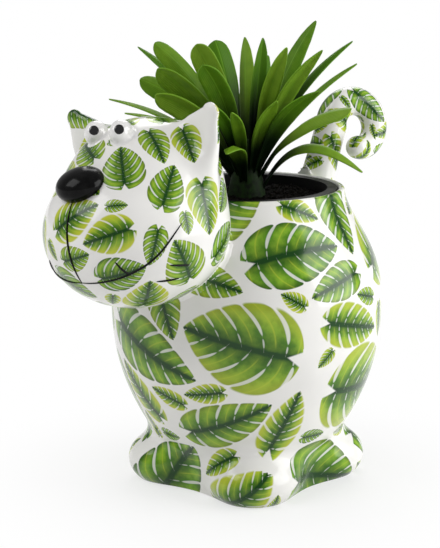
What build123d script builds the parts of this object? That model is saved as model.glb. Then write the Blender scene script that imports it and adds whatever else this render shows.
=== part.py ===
from build123d import *
import math
import os

# A cat-shaped ceramic planter, its nursery pot and a strap-leaved plant.
# Millimetres, +Z up. The cat faces -Y and its left side is +X. The origin lies on
# the floor, on the axis of the round mouth.

# Body: a pear-shaped barrel on four round feet, open at the top
rim_height = 157.0
belly_height = 95.0
waist_height = 27.0
belly_radius = 71.5
waist_radius = 50.5
base_radius = 42.0
shoulder_curve_shares = (2.6, 2.0)
flank_curve_share = 2.2
shell_wall = 4.5
shell_floor = 5.0
lip_width = 3.2
lip_round = 1.4

# Feet, one at each corner of the base
foot_spread_x = 28.5
foot_spread_y = 28.5
foot_back = 0.5
foot_rise = 10.0
foot_radius_x = 23.0
foot_radius_y = 24.0
foot_radius_z = 16.0
foot_blend = 12.0

# Mouth: the pot's collar drops into a shallow seat
mouth_radius = 48.0
seat_depth = 4.0
seat_thickness = 4.0
throat_radius = 44.0

# Head, drawn upright about its pivot and then rolled towards the cat's right
head_pivot_y = -84.0
head_pivot_z = 155.0
head_roll_angle = 6.5
skull_y = -75.0
skull_z = 172.0
skull_radius_x = 37.0
skull_radius_y = 35.0
skull_radius_z = 28.0
jowl_y = -85.5
jowl_z = 146.5
jowl_radius_x = 44.0
jowl_radius_y = 48.0
jowl_radius_z = 38.5
head_blend = 14.0
nape_y = -49.5
nape_blend = 8.0
head_wall = 5.0
glaze_gap = 0.1

# Ears: flattened cones with a dished front
ear_root_x = 27.0
ear_root_y = -75.0
ear_root_z = 177.0
ear_tip_x = 45.0
ear_tip_y = -76.0
ear_tip_z = 200.5
ear_root_radius = 17.0
ear_tip_radius = 5.0
ear_flat_share = 0.55
ear_dish_depth = 3.5
ear_dish_shares = (0.85, 1.0)
ear_middle_share = 0.5

# Nose and eyes, applied to the head
nose_y = -121.0
nose_z = 172.5
nose_radius_x = 12.5
nose_radius_y = 12.0
nose_radius_z = 8.0
nose_tilt_angle = 18.0
eye_x = 8.3
eye_y = -99.0
eye_z = 194.5
eye_radius_x = 5.8
eye_radius_y = 7.4
eye_radius_z = 7.2

# Tail: a column behind the mouth that ends in a sideways curl
tail_y = 63.0
tail_root_z = 112.0
tail_root_inset = 16.0
tail_turn_angle = 20.0
curl_reach = 20.0
curl_z = 182.5
curl_radius = 12.3
curl_offset = 14.0
curl_start_angle = 185.0
curl_sweep_angle = 295.0
column_step_count = 5
curl_step_count = 6
tail_root_radius = 14.0
curl_thick_radius = 8.6
curl_thin_radius = 6.3
tail_tip_share = 0.98

# Nursery pot, hung by its collar
pot_height = 80.0
pot_base_radius = 33.0
pot_wall = 1.2
pot_rim_drop = 0.5
pot_side_gap = 0.6
drain_hole_radius = 3.5
drain_circle_radius = 22.0
drain_hole_count = 8

# Root ball and the crown that carries the leaves
soil_drop = 5.0
root_gap = 0.4
soil_chamfer = 2.0
crown_radius = 10.0
crown_neck_radius = 6.0
crown_height = 24.0

# Leaves: strap blades in whorls, lowest whorl first
leaf_length = 90.0
leaf_width = 12.0
leaf_thickness = 0.9
leaf_root_inset = 1.5
leaf_rise_shares = (0.1, 0.85)
leaf_knee_shares = (0.3, 0.5)
leaf_tip_share = 0.25
leaf_heading_share = 0.01
leaf_twist_share = 0.5

# One overrun serves every cut
overrun = 5.0
half_points_count = 14
bisection_count = 40

# Section heights of the lofts, as shares of each form's height
body_section_shares = (0, 0.035, 0.07, 0.105, 0.14, 0.18, 0.23, 0.31, 0.42, 0.54, 0.66, 0.78, 0.87, 0.94, 1)
cavity_section_shares = (0, 0.1, 0.2, 0.35, 0.5, 0.65, 0.8, 0.9, 1)
head_section_shares = (0.012, 0.05, 0.12, 0.22, 0.34, 0.47, 0.6, 0.72, 0.82, 0.9, 0.96, 0.99)

# Ear and leaf sections: how far along, then the size there
ear_section_shares = ((0, 0), (0.35, 0.2), (0.7, 0.55), (1, 1))
leaf_section_shares = (
    (0, 0.3, 0.3),
    (0.08, 0.37, 0.3),
    (0.18, 0.48, 0.28),
    (0.3, 0.64, 0.25),
    (0.44, 0.84, 0.21),
    (0.58, 0.98, 0.17),
    (0.72, 1, 0.14),
    (0.85, 0.82, 0.12),
    (0.94, 0.52, 0.12),
    (1, 0.1, 0.12),
)
leaf_edge_share = 0.9

# Each leaf: azimuth, then reach, height, width and arch as shares, then its twist
leaf_shares = (
    (35, 0.67, 0.08, 0.85, 0.42, 15),
    (-62, 0.57, 0.26, 0.8, 0.2, 0),
    (-162, 0.88, 0.46, 0.6, 0.16, 0),
    (-144, 0.71, 0.41, 0.6, 0.16, 0),
    (118, 0.66, 0.34, 0.9, 0.2, -20),
    (150, 0.74, 0.24, 0.95, 0.3, -35),
    (172, 0.7, 0.3, 0.95, 0.24, -40),
    (15, 0.64, 0.47, 1.05, 0.14, 35),
    (-107, 0.61, 0.56, 1, 0.1, -30),
    (-60, 0.52, 0.48, 0.55, 0.1, 0),
    (-150, 0.63, 0.6, 0.85, 0.1, -55),
    (-174, 0.78, 0.76, 0.55, 0.1, -15),
    (-9, 0.59, 0.59, 0.8, 0.1, 20),
    (40, 0.63, 0.7, 0.55, 0.08, 10),
    (-76, 0.5, 0.52, 0.55, 0.08, -10),
    (-28, 0.42, 0.53, 0.8, 0.08, 0),
    (60, 0.66, 0.81, 0.5, 0.1, 20),
    (92, 0.49, 0.69, 0.8, 0.08, 30),
    (6, 0.5, 0.8, 0.75, 0.08, 25),
    (-110, 0.58, 0.7, 1, 0.06, -40),
    (-137, 0.53, 0.82, 0.8, 0.08, -45),
    (-82, 0.47, 0.73, 0.95, 0.08, -15),
    (48, 0.4, 0.94, 0.85, 0.05, 45),
    (-5, 0.31, 0.81, 0.75, 0.05, 10),
    (-119, 0.31, 0.82, 1, 0.05, -40),
    (178, 0.25, 0.82, 1, 0.05, -40),
    (132, 0.28, 0.83, 0.75, 0.05, -30),
    (-23, 0.19, 0.86, 0.75, 0.03, 0),
    (107, 0.33, 0.72, 0.8, 0.05, 20),
    (155, 0.5, 0.62, 0.9, 0.1, -40),
)


def smooth_min(first, second, blend):
    """Blend two distances into one, rounding the crease between their surfaces."""
    mix = min(max(0.5 + 0.5 * (second - first) / blend, 0.0), 1.0)
    return second * (1 - mix) + first * mix - blend * mix * (1 - mix)


def ellipsoid_distance(offset, radii):
    """Near-true signed distance from an ellipsoid at the origin."""
    scaled = math.sqrt(sum((o / r) ** 2 for o, r in zip(offset, radii)))
    slope = math.sqrt(sum((o / r**2) ** 2 for o, r in zip(offset, radii)))
    if slope == 0:
        return -min(radii)
    return scaled * (scaled - 1) / slope


def barrel_radius(height):
    """Outer radius of the barrel before the feet join it."""
    rim_radius = mouth_radius + lip_width
    if height > belly_height:
        rise = min((height - belly_height) / (rim_height - belly_height), 1.0)
        power, fullness = shoulder_curve_shares
        return rim_radius + (belly_radius - rim_radius) * (1 - rise**power) ** fullness
    if height > waist_height:
        drop = (belly_height - height) / (belly_height - waist_height)
        return waist_radius + (belly_radius - waist_radius) * (1 - drop**flank_curve_share)
    rise = max(height, 0.0) / waist_height
    return base_radius + (waist_radius - base_radius) * rise**flank_curve_share


def body_distance(x, y, z):
    """Signed distance from the outside of the body: barrel and feet, blended."""
    distance = math.hypot(x, y) - barrel_radius(z)
    for side in (-1, 1):
        for end in (-1, 1):
            offset = (x - side * foot_spread_x, y - foot_back - end * foot_spread_y, z - foot_rise)
            foot = ellipsoid_distance(offset, (foot_radius_x, foot_radius_y, foot_radius_z))
            distance = smooth_min(distance, foot, foot_blend)
    return distance


def head_distance(x, y, z):
    """Signed distance from the upright head without ears, its nape flat beside the mouth."""
    skull = ellipsoid_distance(
        (x, y - skull_y, z - skull_z), (skull_radius_x, skull_radius_y, skull_radius_z)
    )
    jowl = ellipsoid_distance(
        (x, y - jowl_y, z - jowl_z), (jowl_radius_x, jowl_radius_y, jowl_radius_z)
    )
    ball = smooth_min(skull, jowl, head_blend)
    return -smooth_min(-ball, nape_y - y, nape_blend)


def half_section(distance, axis_y, height, inset, reach, side):
    """Spline round one side of a horizontal section, from the back to the front."""
    points = []
    for step in range(half_points_count + 1):
        angle = math.pi * step / half_points_count
        along_x, along_y = side * math.sin(angle), math.cos(angle)
        near, far = 0.0, reach
        for _ in range(bisection_count):
            middle = (near + far) / 2
            if distance(middle * along_x, axis_y + middle * along_y, height) + inset < 0:
                near = middle
            else:
                far = middle
        points.append((near * along_x, axis_y + near * along_y, height))
    back, front = points[0][1], points[-1][1]
    points[0], points[-1] = (0, back, height), (0, front, height)
    steps = [step / half_points_count for step in range(half_points_count + 1)]
    tangents = [(side * math.pi * (back - axis_y), 0, 0), (-side * math.pi * (axis_y - front), 0, 0)]
    return Edge.make_spline(points, tangents=tangents, parameters=steps, scale=False)


def level_face(distance, axis_y, height, inset, reach):
    """Closed horizontal section where the form is `inset` deep, seen from its axis."""
    return Face(Wire([half_section(distance, axis_y, height, inset, reach, side) for side in (1, -1)]))


def make_body_outer():
    """Outside of the body: a loft from the soles to the rim, with a softened lip."""
    reach = 2 * belly_radius
    heights = [share * rim_height for share in body_section_shares]
    solid = loft([level_face(body_distance, 0, z, 0, reach) for z in heights])
    edge = mouth_radius + lip_width
    bow = ThreePointArc(
        (edge + overrun, rim_height - lip_round - overrun),
        (edge - lip_round / 3, rim_height - lip_round / 3),
        (edge - lip_round - overrun, rim_height + overrun),
    )
    corner = Polyline(bow @ 1, (edge + overrun, rim_height + overrun), bow @ 0)
    return solid - revolve(Plane.XZ * make_face([bow, corner]), Axis.Z)


def make_cavity():
    """Inside of the body: hollow barrel, throat, seat for the pot's collar and mouth."""
    top = rim_height - seat_depth - seat_thickness
    seat = rim_height - seat_depth
    side = []
    for share in cavity_section_shares:
        z = shell_floor + share * (top - shell_floor)
        side.append((barrel_radius(z) - shell_wall, z))
    outline = [
        Line((0, shell_floor), side[0]),
        Spline(*side),
        Polyline(
            side[-1], (throat_radius, top), (throat_radius, seat), (mouth_radius, seat),
            (mouth_radius, rim_height - lip_round), (mouth_radius + lip_round, rim_height + lip_round / 2),
            (0, rim_height + lip_round / 2), (0, shell_floor),
        ),
    ]
    return revolve(Plane.XZ * make_face(outline), Axis.Z)


def head_loft(inset):
    """Loft of the upright head's form, closed to a point at chin and crown."""
    low = jowl_z - jowl_radius_z + inset
    high = skull_z + skull_radius_z - inset
    axis_y = (skull_y + jowl_y) / 2
    reach = 2 * jowl_radius_y
    levels = []
    for share in head_section_shares:
        z = low + share * (high - low)
        levels.append(level_face(head_distance, axis_y, z, inset, reach))
    return loft([Vertex(0, axis_y, low), *levels, Vertex(0, axis_y, high)])


def ellipsoid(radius_x, radius_y, radius_z):
    """Solid ellipsoid at the origin."""
    return scale(Sphere(1), (radius_x, radius_y, radius_z))


def rolled(shape):
    """The upright head's shape, rolled about the head's pivot."""
    pivot = Vector(0, head_pivot_y, head_pivot_z)
    return Pos(*pivot) * Rot(0, -head_roll_angle, 0) * Pos(*-pivot) * shape


def make_ear(side):
    """Flattened cone from inside the skull to a round tip, dished in front."""
    root = Vector(side * ear_root_x, ear_root_y, ear_root_z)
    tip = Vector(side * ear_tip_x, ear_tip_y, ear_tip_z)
    axis = tip - root
    across = Vector(axis.Z, 0, -axis.X)
    sections = []
    for along, taper in ear_section_shares:
        radius = ear_root_radius + taper * (ear_tip_radius - ear_root_radius)
        plane = Plane(root + axis * along, x_dir=across, z_dir=axis)
        sections.append(plane * Ellipse(radius, radius * ear_flat_share))
    end = tip + axis.normalized() * ear_tip_radius
    cone = loft([*sections, Vertex(*end)])
    width, length = ear_dish_shares
    middle_radius = (ear_root_radius + ear_tip_radius) / 2
    dish = ellipsoid(width * middle_radius, ear_dish_depth, length * axis.length / 2)
    front = Pos(0, -middle_radius * ear_flat_share, 0)
    return cone - Plane(root + axis * ear_middle_share, x_dir=across, z_dir=axis) * front * dish


def make_tail():
    """Tapered column that curls over backwards and ends beside itself."""
    turn = math.radians(tail_turn_angle)
    back = Vector(math.sin(turn), math.cos(turn), 0)
    aside = Vector(math.cos(turn), -math.sin(turn), 0)
    start = math.radians(curl_start_angle)
    start_reach = curl_reach + curl_radius * math.cos(start)
    start_z = curl_z + curl_radius * math.sin(start)
    stations = []
    for step in range(column_step_count):
        share = step / column_step_count
        z = tail_root_z + share * (start_z - tail_root_z)
        radius = curl_thick_radius + (tail_root_radius - curl_thick_radius) * (1 - share) ** 2
        reach = start_reach * share**3 - tail_root_inset * (1 - share) ** 2
        stations.append((reach, z, 0, radius))
    for step in range(curl_step_count + 1):
        share = step / curl_step_count
        angle = start - math.radians(curl_sweep_angle) * share
        reach = curl_reach + curl_radius * math.cos(angle)
        z = curl_z + curl_radius * math.sin(angle)
        radius = curl_thick_radius + share * (curl_thin_radius - curl_thick_radius)
        stations.append((reach, z, curl_offset * share**2, radius))
    centres = [Vector(0, tail_y, z) + back * s + aside * a for s, z, a, _ in stations]
    circles = []
    for index, centre in enumerate(centres):
        before = centres[max(index - 1, 0)]
        after = centres[min(index + 1, len(centres) - 1)]
        plane = Plane(centre, x_dir=aside, z_dir=after - before)
        circles.append(plane * Circle(stations[index][3]))
    return loft(circles) + Pos(*centres[-1]) * Sphere(curl_thin_radius * tail_tip_share)


def make_pot():
    """Tapered nursery pot with a collar and drain holes."""
    top = rim_height - pot_rim_drop
    seat = rim_height - seat_depth
    bottom = top - pot_height
    neck = throat_radius - pot_side_gap
    collar = mouth_radius - pot_side_gap
    outline = Polyline(
        (0, bottom), (pot_base_radius, bottom), (neck, seat), (collar, seat), (collar, top),
        (neck - pot_wall, top), (pot_base_radius - pot_wall, bottom + pot_wall), (0, bottom + pot_wall),
        close=True,
    )
    pot = revolve(Plane.XZ * make_face(outline), Axis.Z)
    drill = Pos(drain_circle_radius, 0, bottom) * Cylinder(drain_hole_radius, overrun)
    for step in range(drain_hole_count):
        pot -= Rot(0, 0, 360 * step / drain_hole_count) * drill
    return pot


def make_root_ball():
    """Soil and roots that fill the pot, with a chamfered top edge."""
    top = rim_height - pot_rim_drop
    floor = top - pot_height + pot_wall
    soil = top - soil_drop
    low = pot_base_radius - pot_wall - root_gap
    high = throat_radius - pot_side_gap - pot_wall - root_gap
    slope = (high - low) / (top - floor)
    edge = low + slope * (soil - soil_chamfer - floor)
    outline = Polyline(
        (0, floor), (low, floor), (edge, soil - soil_chamfer), (edge - soil_chamfer, soil), (0, soil),
        close=True,
    )
    return revolve(Plane.XZ * make_face(outline), Axis.Z)


def crown_radius_at(rise):
    """Radius of the crown's cone at a height above the soil."""
    return crown_radius + (crown_neck_radius - crown_radius) * rise / crown_height


def make_crown():
    """Tapered stem stub with a domed top."""
    soil = rim_height - pot_rim_drop - soil_drop
    top = soil + crown_height
    side = Polyline((0, top), (0, soil), (crown_radius, soil), (crown_neck_radius, top))
    dome = ThreePointArc(
        (crown_neck_radius, top),
        (crown_neck_radius * math.sin(math.pi / 4), top + crown_neck_radius * math.sin(math.pi / 4)),
        (0, top + crown_neck_radius),
    )
    rise = Line((0, top + crown_neck_radius), (0, top))
    return revolve(Plane.XZ * make_face([side, dome, rise]), Axis.Z)


def make_leaf(row):
    """Gutter-shaped blade that arches out of the crown to a point."""
    azimuth, reach_share, height_share, width_share, arch_share, twist = row
    reach, height = reach_share * leaf_length, height_share * leaf_length
    soil = rim_height - pot_rim_drop - soil_drop
    steep = math.atan2(height, reach) / (math.pi / 2)
    lowest, spread = leaf_rise_shares
    rise = crown_height * (lowest + spread * steep)
    root = (crown_radius_at(rise) - leaf_root_inset, rise)
    knee_out, knee_up = leaf_knee_shares
    knee = (root[0] + knee_out * reach, rise + knee_up * height + arch_share * leaf_length)
    tip = (reach, height + crown_height * leaf_tip_share)
    outward = Vector(1, 0, 0).rotate(Axis.Z, azimuth)
    side = Vector(0, 1, 0).rotate(Axis.Z, azimuth)

    def at(t):
        weights = ((1 - t) ** 2, 2 * t * (1 - t), t**2)
        run = sum(w * p[0] for w, p in zip(weights, (root, knee, tip)))
        up = sum(w * p[1] for w, p in zip(weights, (root, knee, tip)))
        return outward * run + Vector(0, 0, soil + up)

    sections = []
    for along, wide, fold in leaf_section_shares:
        half = leaf_width * width_share * wide / 2
        lift = 2 * half * fold
        heel = half * leaf_edge_share
        under = lift * leaf_edge_share - leaf_thickness * (1 - leaf_edge_share)
        heading = at(along + leaf_heading_share) - at(along - leaf_heading_share)
        outline = Polyline(
            (-half, lift), (0, 0), (half, lift), (heel, under), (0, -leaf_thickness), (-heel, under),
            close=True,
        )
        turn = twist * min(along / leaf_twist_share, 1)
        plane = Plane(at(along), x_dir=side, z_dir=heading).rotated((0, 0, turn))
        sections.append(plane * make_face(outline))
    return loft(sections, ruled=True)


def export(node, shape):
    """Write one node's STEP file."""
    export_step(shape, f"parts/{node}.step")


os.makedirs("parts", exist_ok=True)

body_outer = make_body_outer()
body_shell = body_outer - make_cavity()

head_outer = head_loft(0) + make_ear(-1) + make_ear(1)
head_shell = rolled(head_outer) - body_outer - rolled(head_loft(head_wall))
face = head_loft(-glaze_gap)
nose_place = Pos(0, nose_y, nose_z) * Rot(nose_tilt_angle, 0, 0)
nose = nose_place * ellipsoid(nose_radius_x, nose_radius_y, nose_radius_z)
eyes = {}
for node, side in (("eye_left", 1), ("eye_right", -1)):
    ball = Pos(side * eye_x, eye_y, eye_z) * ellipsoid(eye_radius_x, eye_radius_y, eye_radius_z)
    eyes[node] = rolled(ball - face)

export("body_shell", body_shell)
export("head_shell", head_shell)
export("nose", rolled(nose - face))
for node, eye in eyes.items():
    export(node, eye)
export("tail", make_tail() - body_outer)
export("nursery_pot", make_pot())
export("root_ball", make_root_ball())
crown = make_crown()
export("crown", crown)
for number, row in enumerate(leaf_shares, start=1):
    export(f"leaf_{number:02d}", make_leaf(row) - crown)
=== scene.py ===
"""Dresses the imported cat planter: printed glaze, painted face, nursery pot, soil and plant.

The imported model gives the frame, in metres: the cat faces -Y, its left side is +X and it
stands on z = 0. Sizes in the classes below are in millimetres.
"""

import logging
import math
from dataclasses import dataclass, field
from enum import Enum
from typing import Callable, NamedTuple, Sequence

import bpy
import numpy as np
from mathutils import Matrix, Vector
from mathutils.kdtree import KDTree

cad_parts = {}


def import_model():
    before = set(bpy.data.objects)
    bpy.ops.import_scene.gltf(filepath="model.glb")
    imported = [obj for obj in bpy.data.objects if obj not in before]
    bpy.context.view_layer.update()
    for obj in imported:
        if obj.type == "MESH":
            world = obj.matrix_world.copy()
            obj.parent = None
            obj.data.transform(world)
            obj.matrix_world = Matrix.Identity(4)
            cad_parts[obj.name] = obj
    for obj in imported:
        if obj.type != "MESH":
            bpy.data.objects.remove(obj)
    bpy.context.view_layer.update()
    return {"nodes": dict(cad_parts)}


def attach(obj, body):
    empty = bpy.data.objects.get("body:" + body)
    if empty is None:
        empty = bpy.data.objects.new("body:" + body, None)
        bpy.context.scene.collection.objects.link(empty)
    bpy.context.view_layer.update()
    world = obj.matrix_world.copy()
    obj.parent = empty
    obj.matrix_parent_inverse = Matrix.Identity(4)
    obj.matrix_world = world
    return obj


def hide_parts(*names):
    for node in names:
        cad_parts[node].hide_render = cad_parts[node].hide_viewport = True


MM = 0.001
TINY = 1e-6
LEAST_SLOPE = 0.05
LOG = logging.getLogger("planter")

Pair = tuple[float, float]
Triple = tuple[float, float, float]
Colour = Triple
Field = Callable[[np.ndarray], np.ndarray]


class Body(Enum):
    """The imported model's bodies that carry these pieces."""

    PLANTER = "planter"
    PLANT = "plant"


class Slot(Enum):
    """The record's material slots that match these pieces."""

    GLAZE = "glaze"
    NOSE = "nose_glaze"
    EYE = "eye_glaze"
    SOIL = "soil"
    LEAF = "leaf_green"


def smooth_min(first: np.ndarray, second: np.ndarray, blend: float) -> np.ndarray:
    """Joins two distance fields with a rounded crease.

    Args:
        first: Distances from one form.
        second: Distances from the other form.
        blend: Width of the rounding in millimetres.

    Returns:
        Distances from the joined form.
    """
    mix = np.clip(0.5 + 0.5 * (second - first) / blend, 0.0, 1.0)
    return second * (1 - mix) + first * mix - blend * mix * (1 - mix)


def smooth_max(first: np.ndarray, second: np.ndarray, blend: float) -> np.ndarray:
    """Intersects two distance fields with a rounded edge of width `blend`."""
    return -smooth_min(-first, -second, blend)


def ellipsoid_distance(points: np.ndarray, centre: Sequence[float],
                       radii: Sequence[float]) -> np.ndarray:
    """Near-true distance from an ellipsoid.

    Args:
        points: Points to measure, one a row.
        centre: Middle of the ellipsoid.
        radii: Its three radii.

    Returns:
        One signed distance for each point.
    """
    offset = points - np.asarray(centre, float)
    sizes = np.asarray(radii, float)
    scaled = np.linalg.norm(offset / sizes, axis=1) + TINY
    slope = np.linalg.norm(offset / sizes**2, axis=1) + TINY
    return scaled * (scaled - 1) / slope


def unit(vector: Sequence[float]) -> np.ndarray:
    """The vector at length 1."""
    values = np.asarray(vector, float)
    return values / np.linalg.norm(values)


def slope_of(distance: Field, points: np.ndarray, reach: float = 0.05) -> np.ndarray:
    """Gradient of a distance field by central differences.

    Args:
        distance: The field.
        points: Where to measure it.
        reach: Half the step in millimetres.

    Returns:
        One gradient for each point.
    """
    columns = []
    for axis in range(3):
        shift = np.zeros(3)
        shift[axis] = reach
        columns.append((distance(points + shift) - distance(points - shift)) / (2 * reach))
    return np.stack(columns, axis=1)


def settle(distance: Field, points: np.ndarray, rounds: int = 3, lift: float = 0.0) -> np.ndarray:
    """Moves points along the field's slope onto its surface.

    Args:
        distance: The field.
        points: Points near its surface.
        rounds: Number of steps.
        lift: How far above the surface the points end, in millimetres.

    Returns:
        The moved points.
    """
    for _ in range(rounds):
        slope = slope_of(distance, points)
        steep = np.maximum((slope**2).sum(axis=1), LEAST_SLOPE)
        points = points - slope * ((distance(points) - lift) / steep)[:, None]
    return points


@dataclass
class Quads:
    """Points in millimetres and the faces between them."""

    points: np.ndarray
    faces: list[tuple[int, ...]]

    def mesh(self, name: str, sharp_angle: float | None = None) -> bpy.types.Mesh:
        """Makes a smooth-shaded mesh in metres.

        Args:
            name: Name of the mesh.
            sharp_angle: Edges steeper than this many degrees stay sharp.

        Returns:
            The mesh.
        """
        mesh = bpy.data.meshes.new(name)
        mesh.from_pydata((self.points * MM).tolist(), [], self.faces)
        mesh.shade_smooth()
        if sharp_angle is not None:
            mesh.set_sharp_from_angle(angle=math.radians(sharp_angle))
        return mesh


def ring_quads(rings: np.ndarray, start: Sequence[float] | None, end: Sequence[float] | None) -> Quads:
    """Skins a stack of closed rings.

    Args:
        rings: Points by ring, then round the ring, anticlockwise seen from the end.
        start: Point that closes the first ring, or None.
        end: Point that closes the last ring, or None.

    Returns:
        The skin, facing outwards.
    """
    rows, columns = rings.shape[:2]
    points = rings.reshape(-1, 3)
    faces: list[tuple[int, ...]] = []
    for row in range(rows - 1):
        for column in range(columns):
            after = (column + 1) % columns
            low, high = row * columns, (row + 1) * columns
            faces.append((low + column, low + after, high + after, high + column))
    if start is not None:
        hub = len(points)
        points = np.vstack([points, start])
        faces += [(hub, (c + 1) % columns, c) for c in range(columns)]
    if end is not None:
        hub = len(points)
        points = np.vstack([points, end])
        low = (rows - 1) * columns
        faces += [(low + c, low + (c + 1) % columns, hub) for c in range(columns)]
    return Quads(points, faces)


def round_ways(columns: int) -> np.ndarray:
    """Level directions all round the upright axis, one for each column."""
    angles = np.linspace(0, math.tau, columns, endpoint=False)
    return np.stack([np.cos(angles), np.sin(angles)], axis=1)


def rings_at(radii: np.ndarray, heights: np.ndarray, ways: np.ndarray) -> np.ndarray:
    """Points of rings round the upright axis.

    Args:
        radii: Radius by ring and column.
        heights: Height by ring and column, or by ring alone in one column.
        ways: Level direction of each column.

    Returns:
        Points by ring and column.
    """
    flat = radii[:, :, None] * ways[None]
    tall = np.broadcast_to(heights[:, :, None], (*radii.shape, 1))
    return np.concatenate([flat, tall], axis=2)


def vectors_of(items: bpy.types.bpy_prop_collection, name: str) -> np.ndarray:
    """One vector of each of a mesh's vertices or faces.

    Args:
        items: The mesh's vertices or polygons.
        name: Name of the vector.

    Returns:
        A row for each item.
    """
    values = np.empty(len(items) * 3)
    items.foreach_get(name, values)
    return values.reshape(-1, 3)


@dataclass(frozen=True)
class SurfaceNet:
    """Extracts a distance field's surface as an even net of quads."""

    step: float = 1.0
    relax_count: int = 3

    def extract(self, distance: Field, low: Sequence[float], high: Sequence[float]) -> Quads:
        """Nets the surface inside a box.

        Args:
            distance: The field.
            low: Lowest corner of the box.
            high: Highest corner of the box.

        Returns:
            The net, facing outwards.
        """
        axes = [np.arange(a, b + self.step, self.step) for a, b in zip(low, high)]
        shape = tuple(len(axis) for axis in axes)
        grid = np.stack(np.meshgrid(*axes, indexing="ij"), axis=-1).reshape(-1, 3)
        inside = (distance(grid) < 0).reshape(shape)
        count = np.zeros([size - 1 for size in shape], int)
        for corner in np.ndindex(2, 2, 2):
            count += inside[tuple(slice(c, c + size - 1) for c, size in zip(corner, shape))]
        mixed = (count > 0) & (count < 8)
        index = np.full(mixed.shape, -1)
        index[mixed] = np.arange(mixed.sum())
        points = np.asarray(low, float) + (np.argwhere(mixed) + 0.5) * self.step
        rings = [self._crossings(inside, index, axis) for axis in range(3)]
        quads = np.concatenate(rings)
        points = settle(distance, points)
        for _ in range(self.relax_count):
            points = settle(distance, self._relaxed(points, quads), 1)
        return Quads(points, [tuple(quad) for quad in quads.tolist()])

    @staticmethod
    def _crossings(inside: np.ndarray, index: np.ndarray, axis: int) -> np.ndarray:
        """Quads round every grid edge along one axis that crosses the surface.

        Args:
            inside: Which grid points are inside the form.
            index: Number of each mixed cell's point.
            axis: The axis that the edges follow.

        Returns:
            Four point numbers a row.
        """
        across, over = (axis + 1) % 3, (axis + 2) % 3
        first = np.take(inside, range(inside.shape[axis] - 1), axis=axis)
        second = np.take(inside, range(1, inside.shape[axis]), axis=axis)
        edges = np.argwhere(first != second)
        for side in (across, over):
            edges = edges[(edges[:, side] > 0) & (edges[:, side] < inside.shape[side] - 1)]
        outward = first[tuple(edges.T)]
        ring = []
        for step_across, step_over in ((-1, -1), (0, -1), (0, 0), (-1, 0)):
            cell = edges.copy()
            cell[:, across] += step_across
            cell[:, over] += step_over
            ring.append(index[tuple(cell.T)])
        quads = np.stack(ring, axis=1)
        quads[~outward] = quads[~outward][:, ::-1]
        return quads

    @staticmethod
    def _relaxed(points: np.ndarray, quads: np.ndarray) -> np.ndarray:
        """Moves each point halfway to the middle of its neighbours.

        Args:
            points: Points of the net.
            quads: Four point numbers a row.

        Returns:
            The moved points.
        """
        total = np.zeros_like(points)
        count = np.zeros(len(points))
        for corner in range(4):
            here, after = quads[:, corner], quads[:, (corner + 1) % 4]
            for one, other in ((here, after), (after, here)):
                count += np.bincount(one, minlength=len(points))
                for axis in range(3):
                    total[:, axis] += np.bincount(one, points[other, axis], len(points))
        return (points + total / np.maximum(count, 1)[:, None]) / 2


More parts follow.
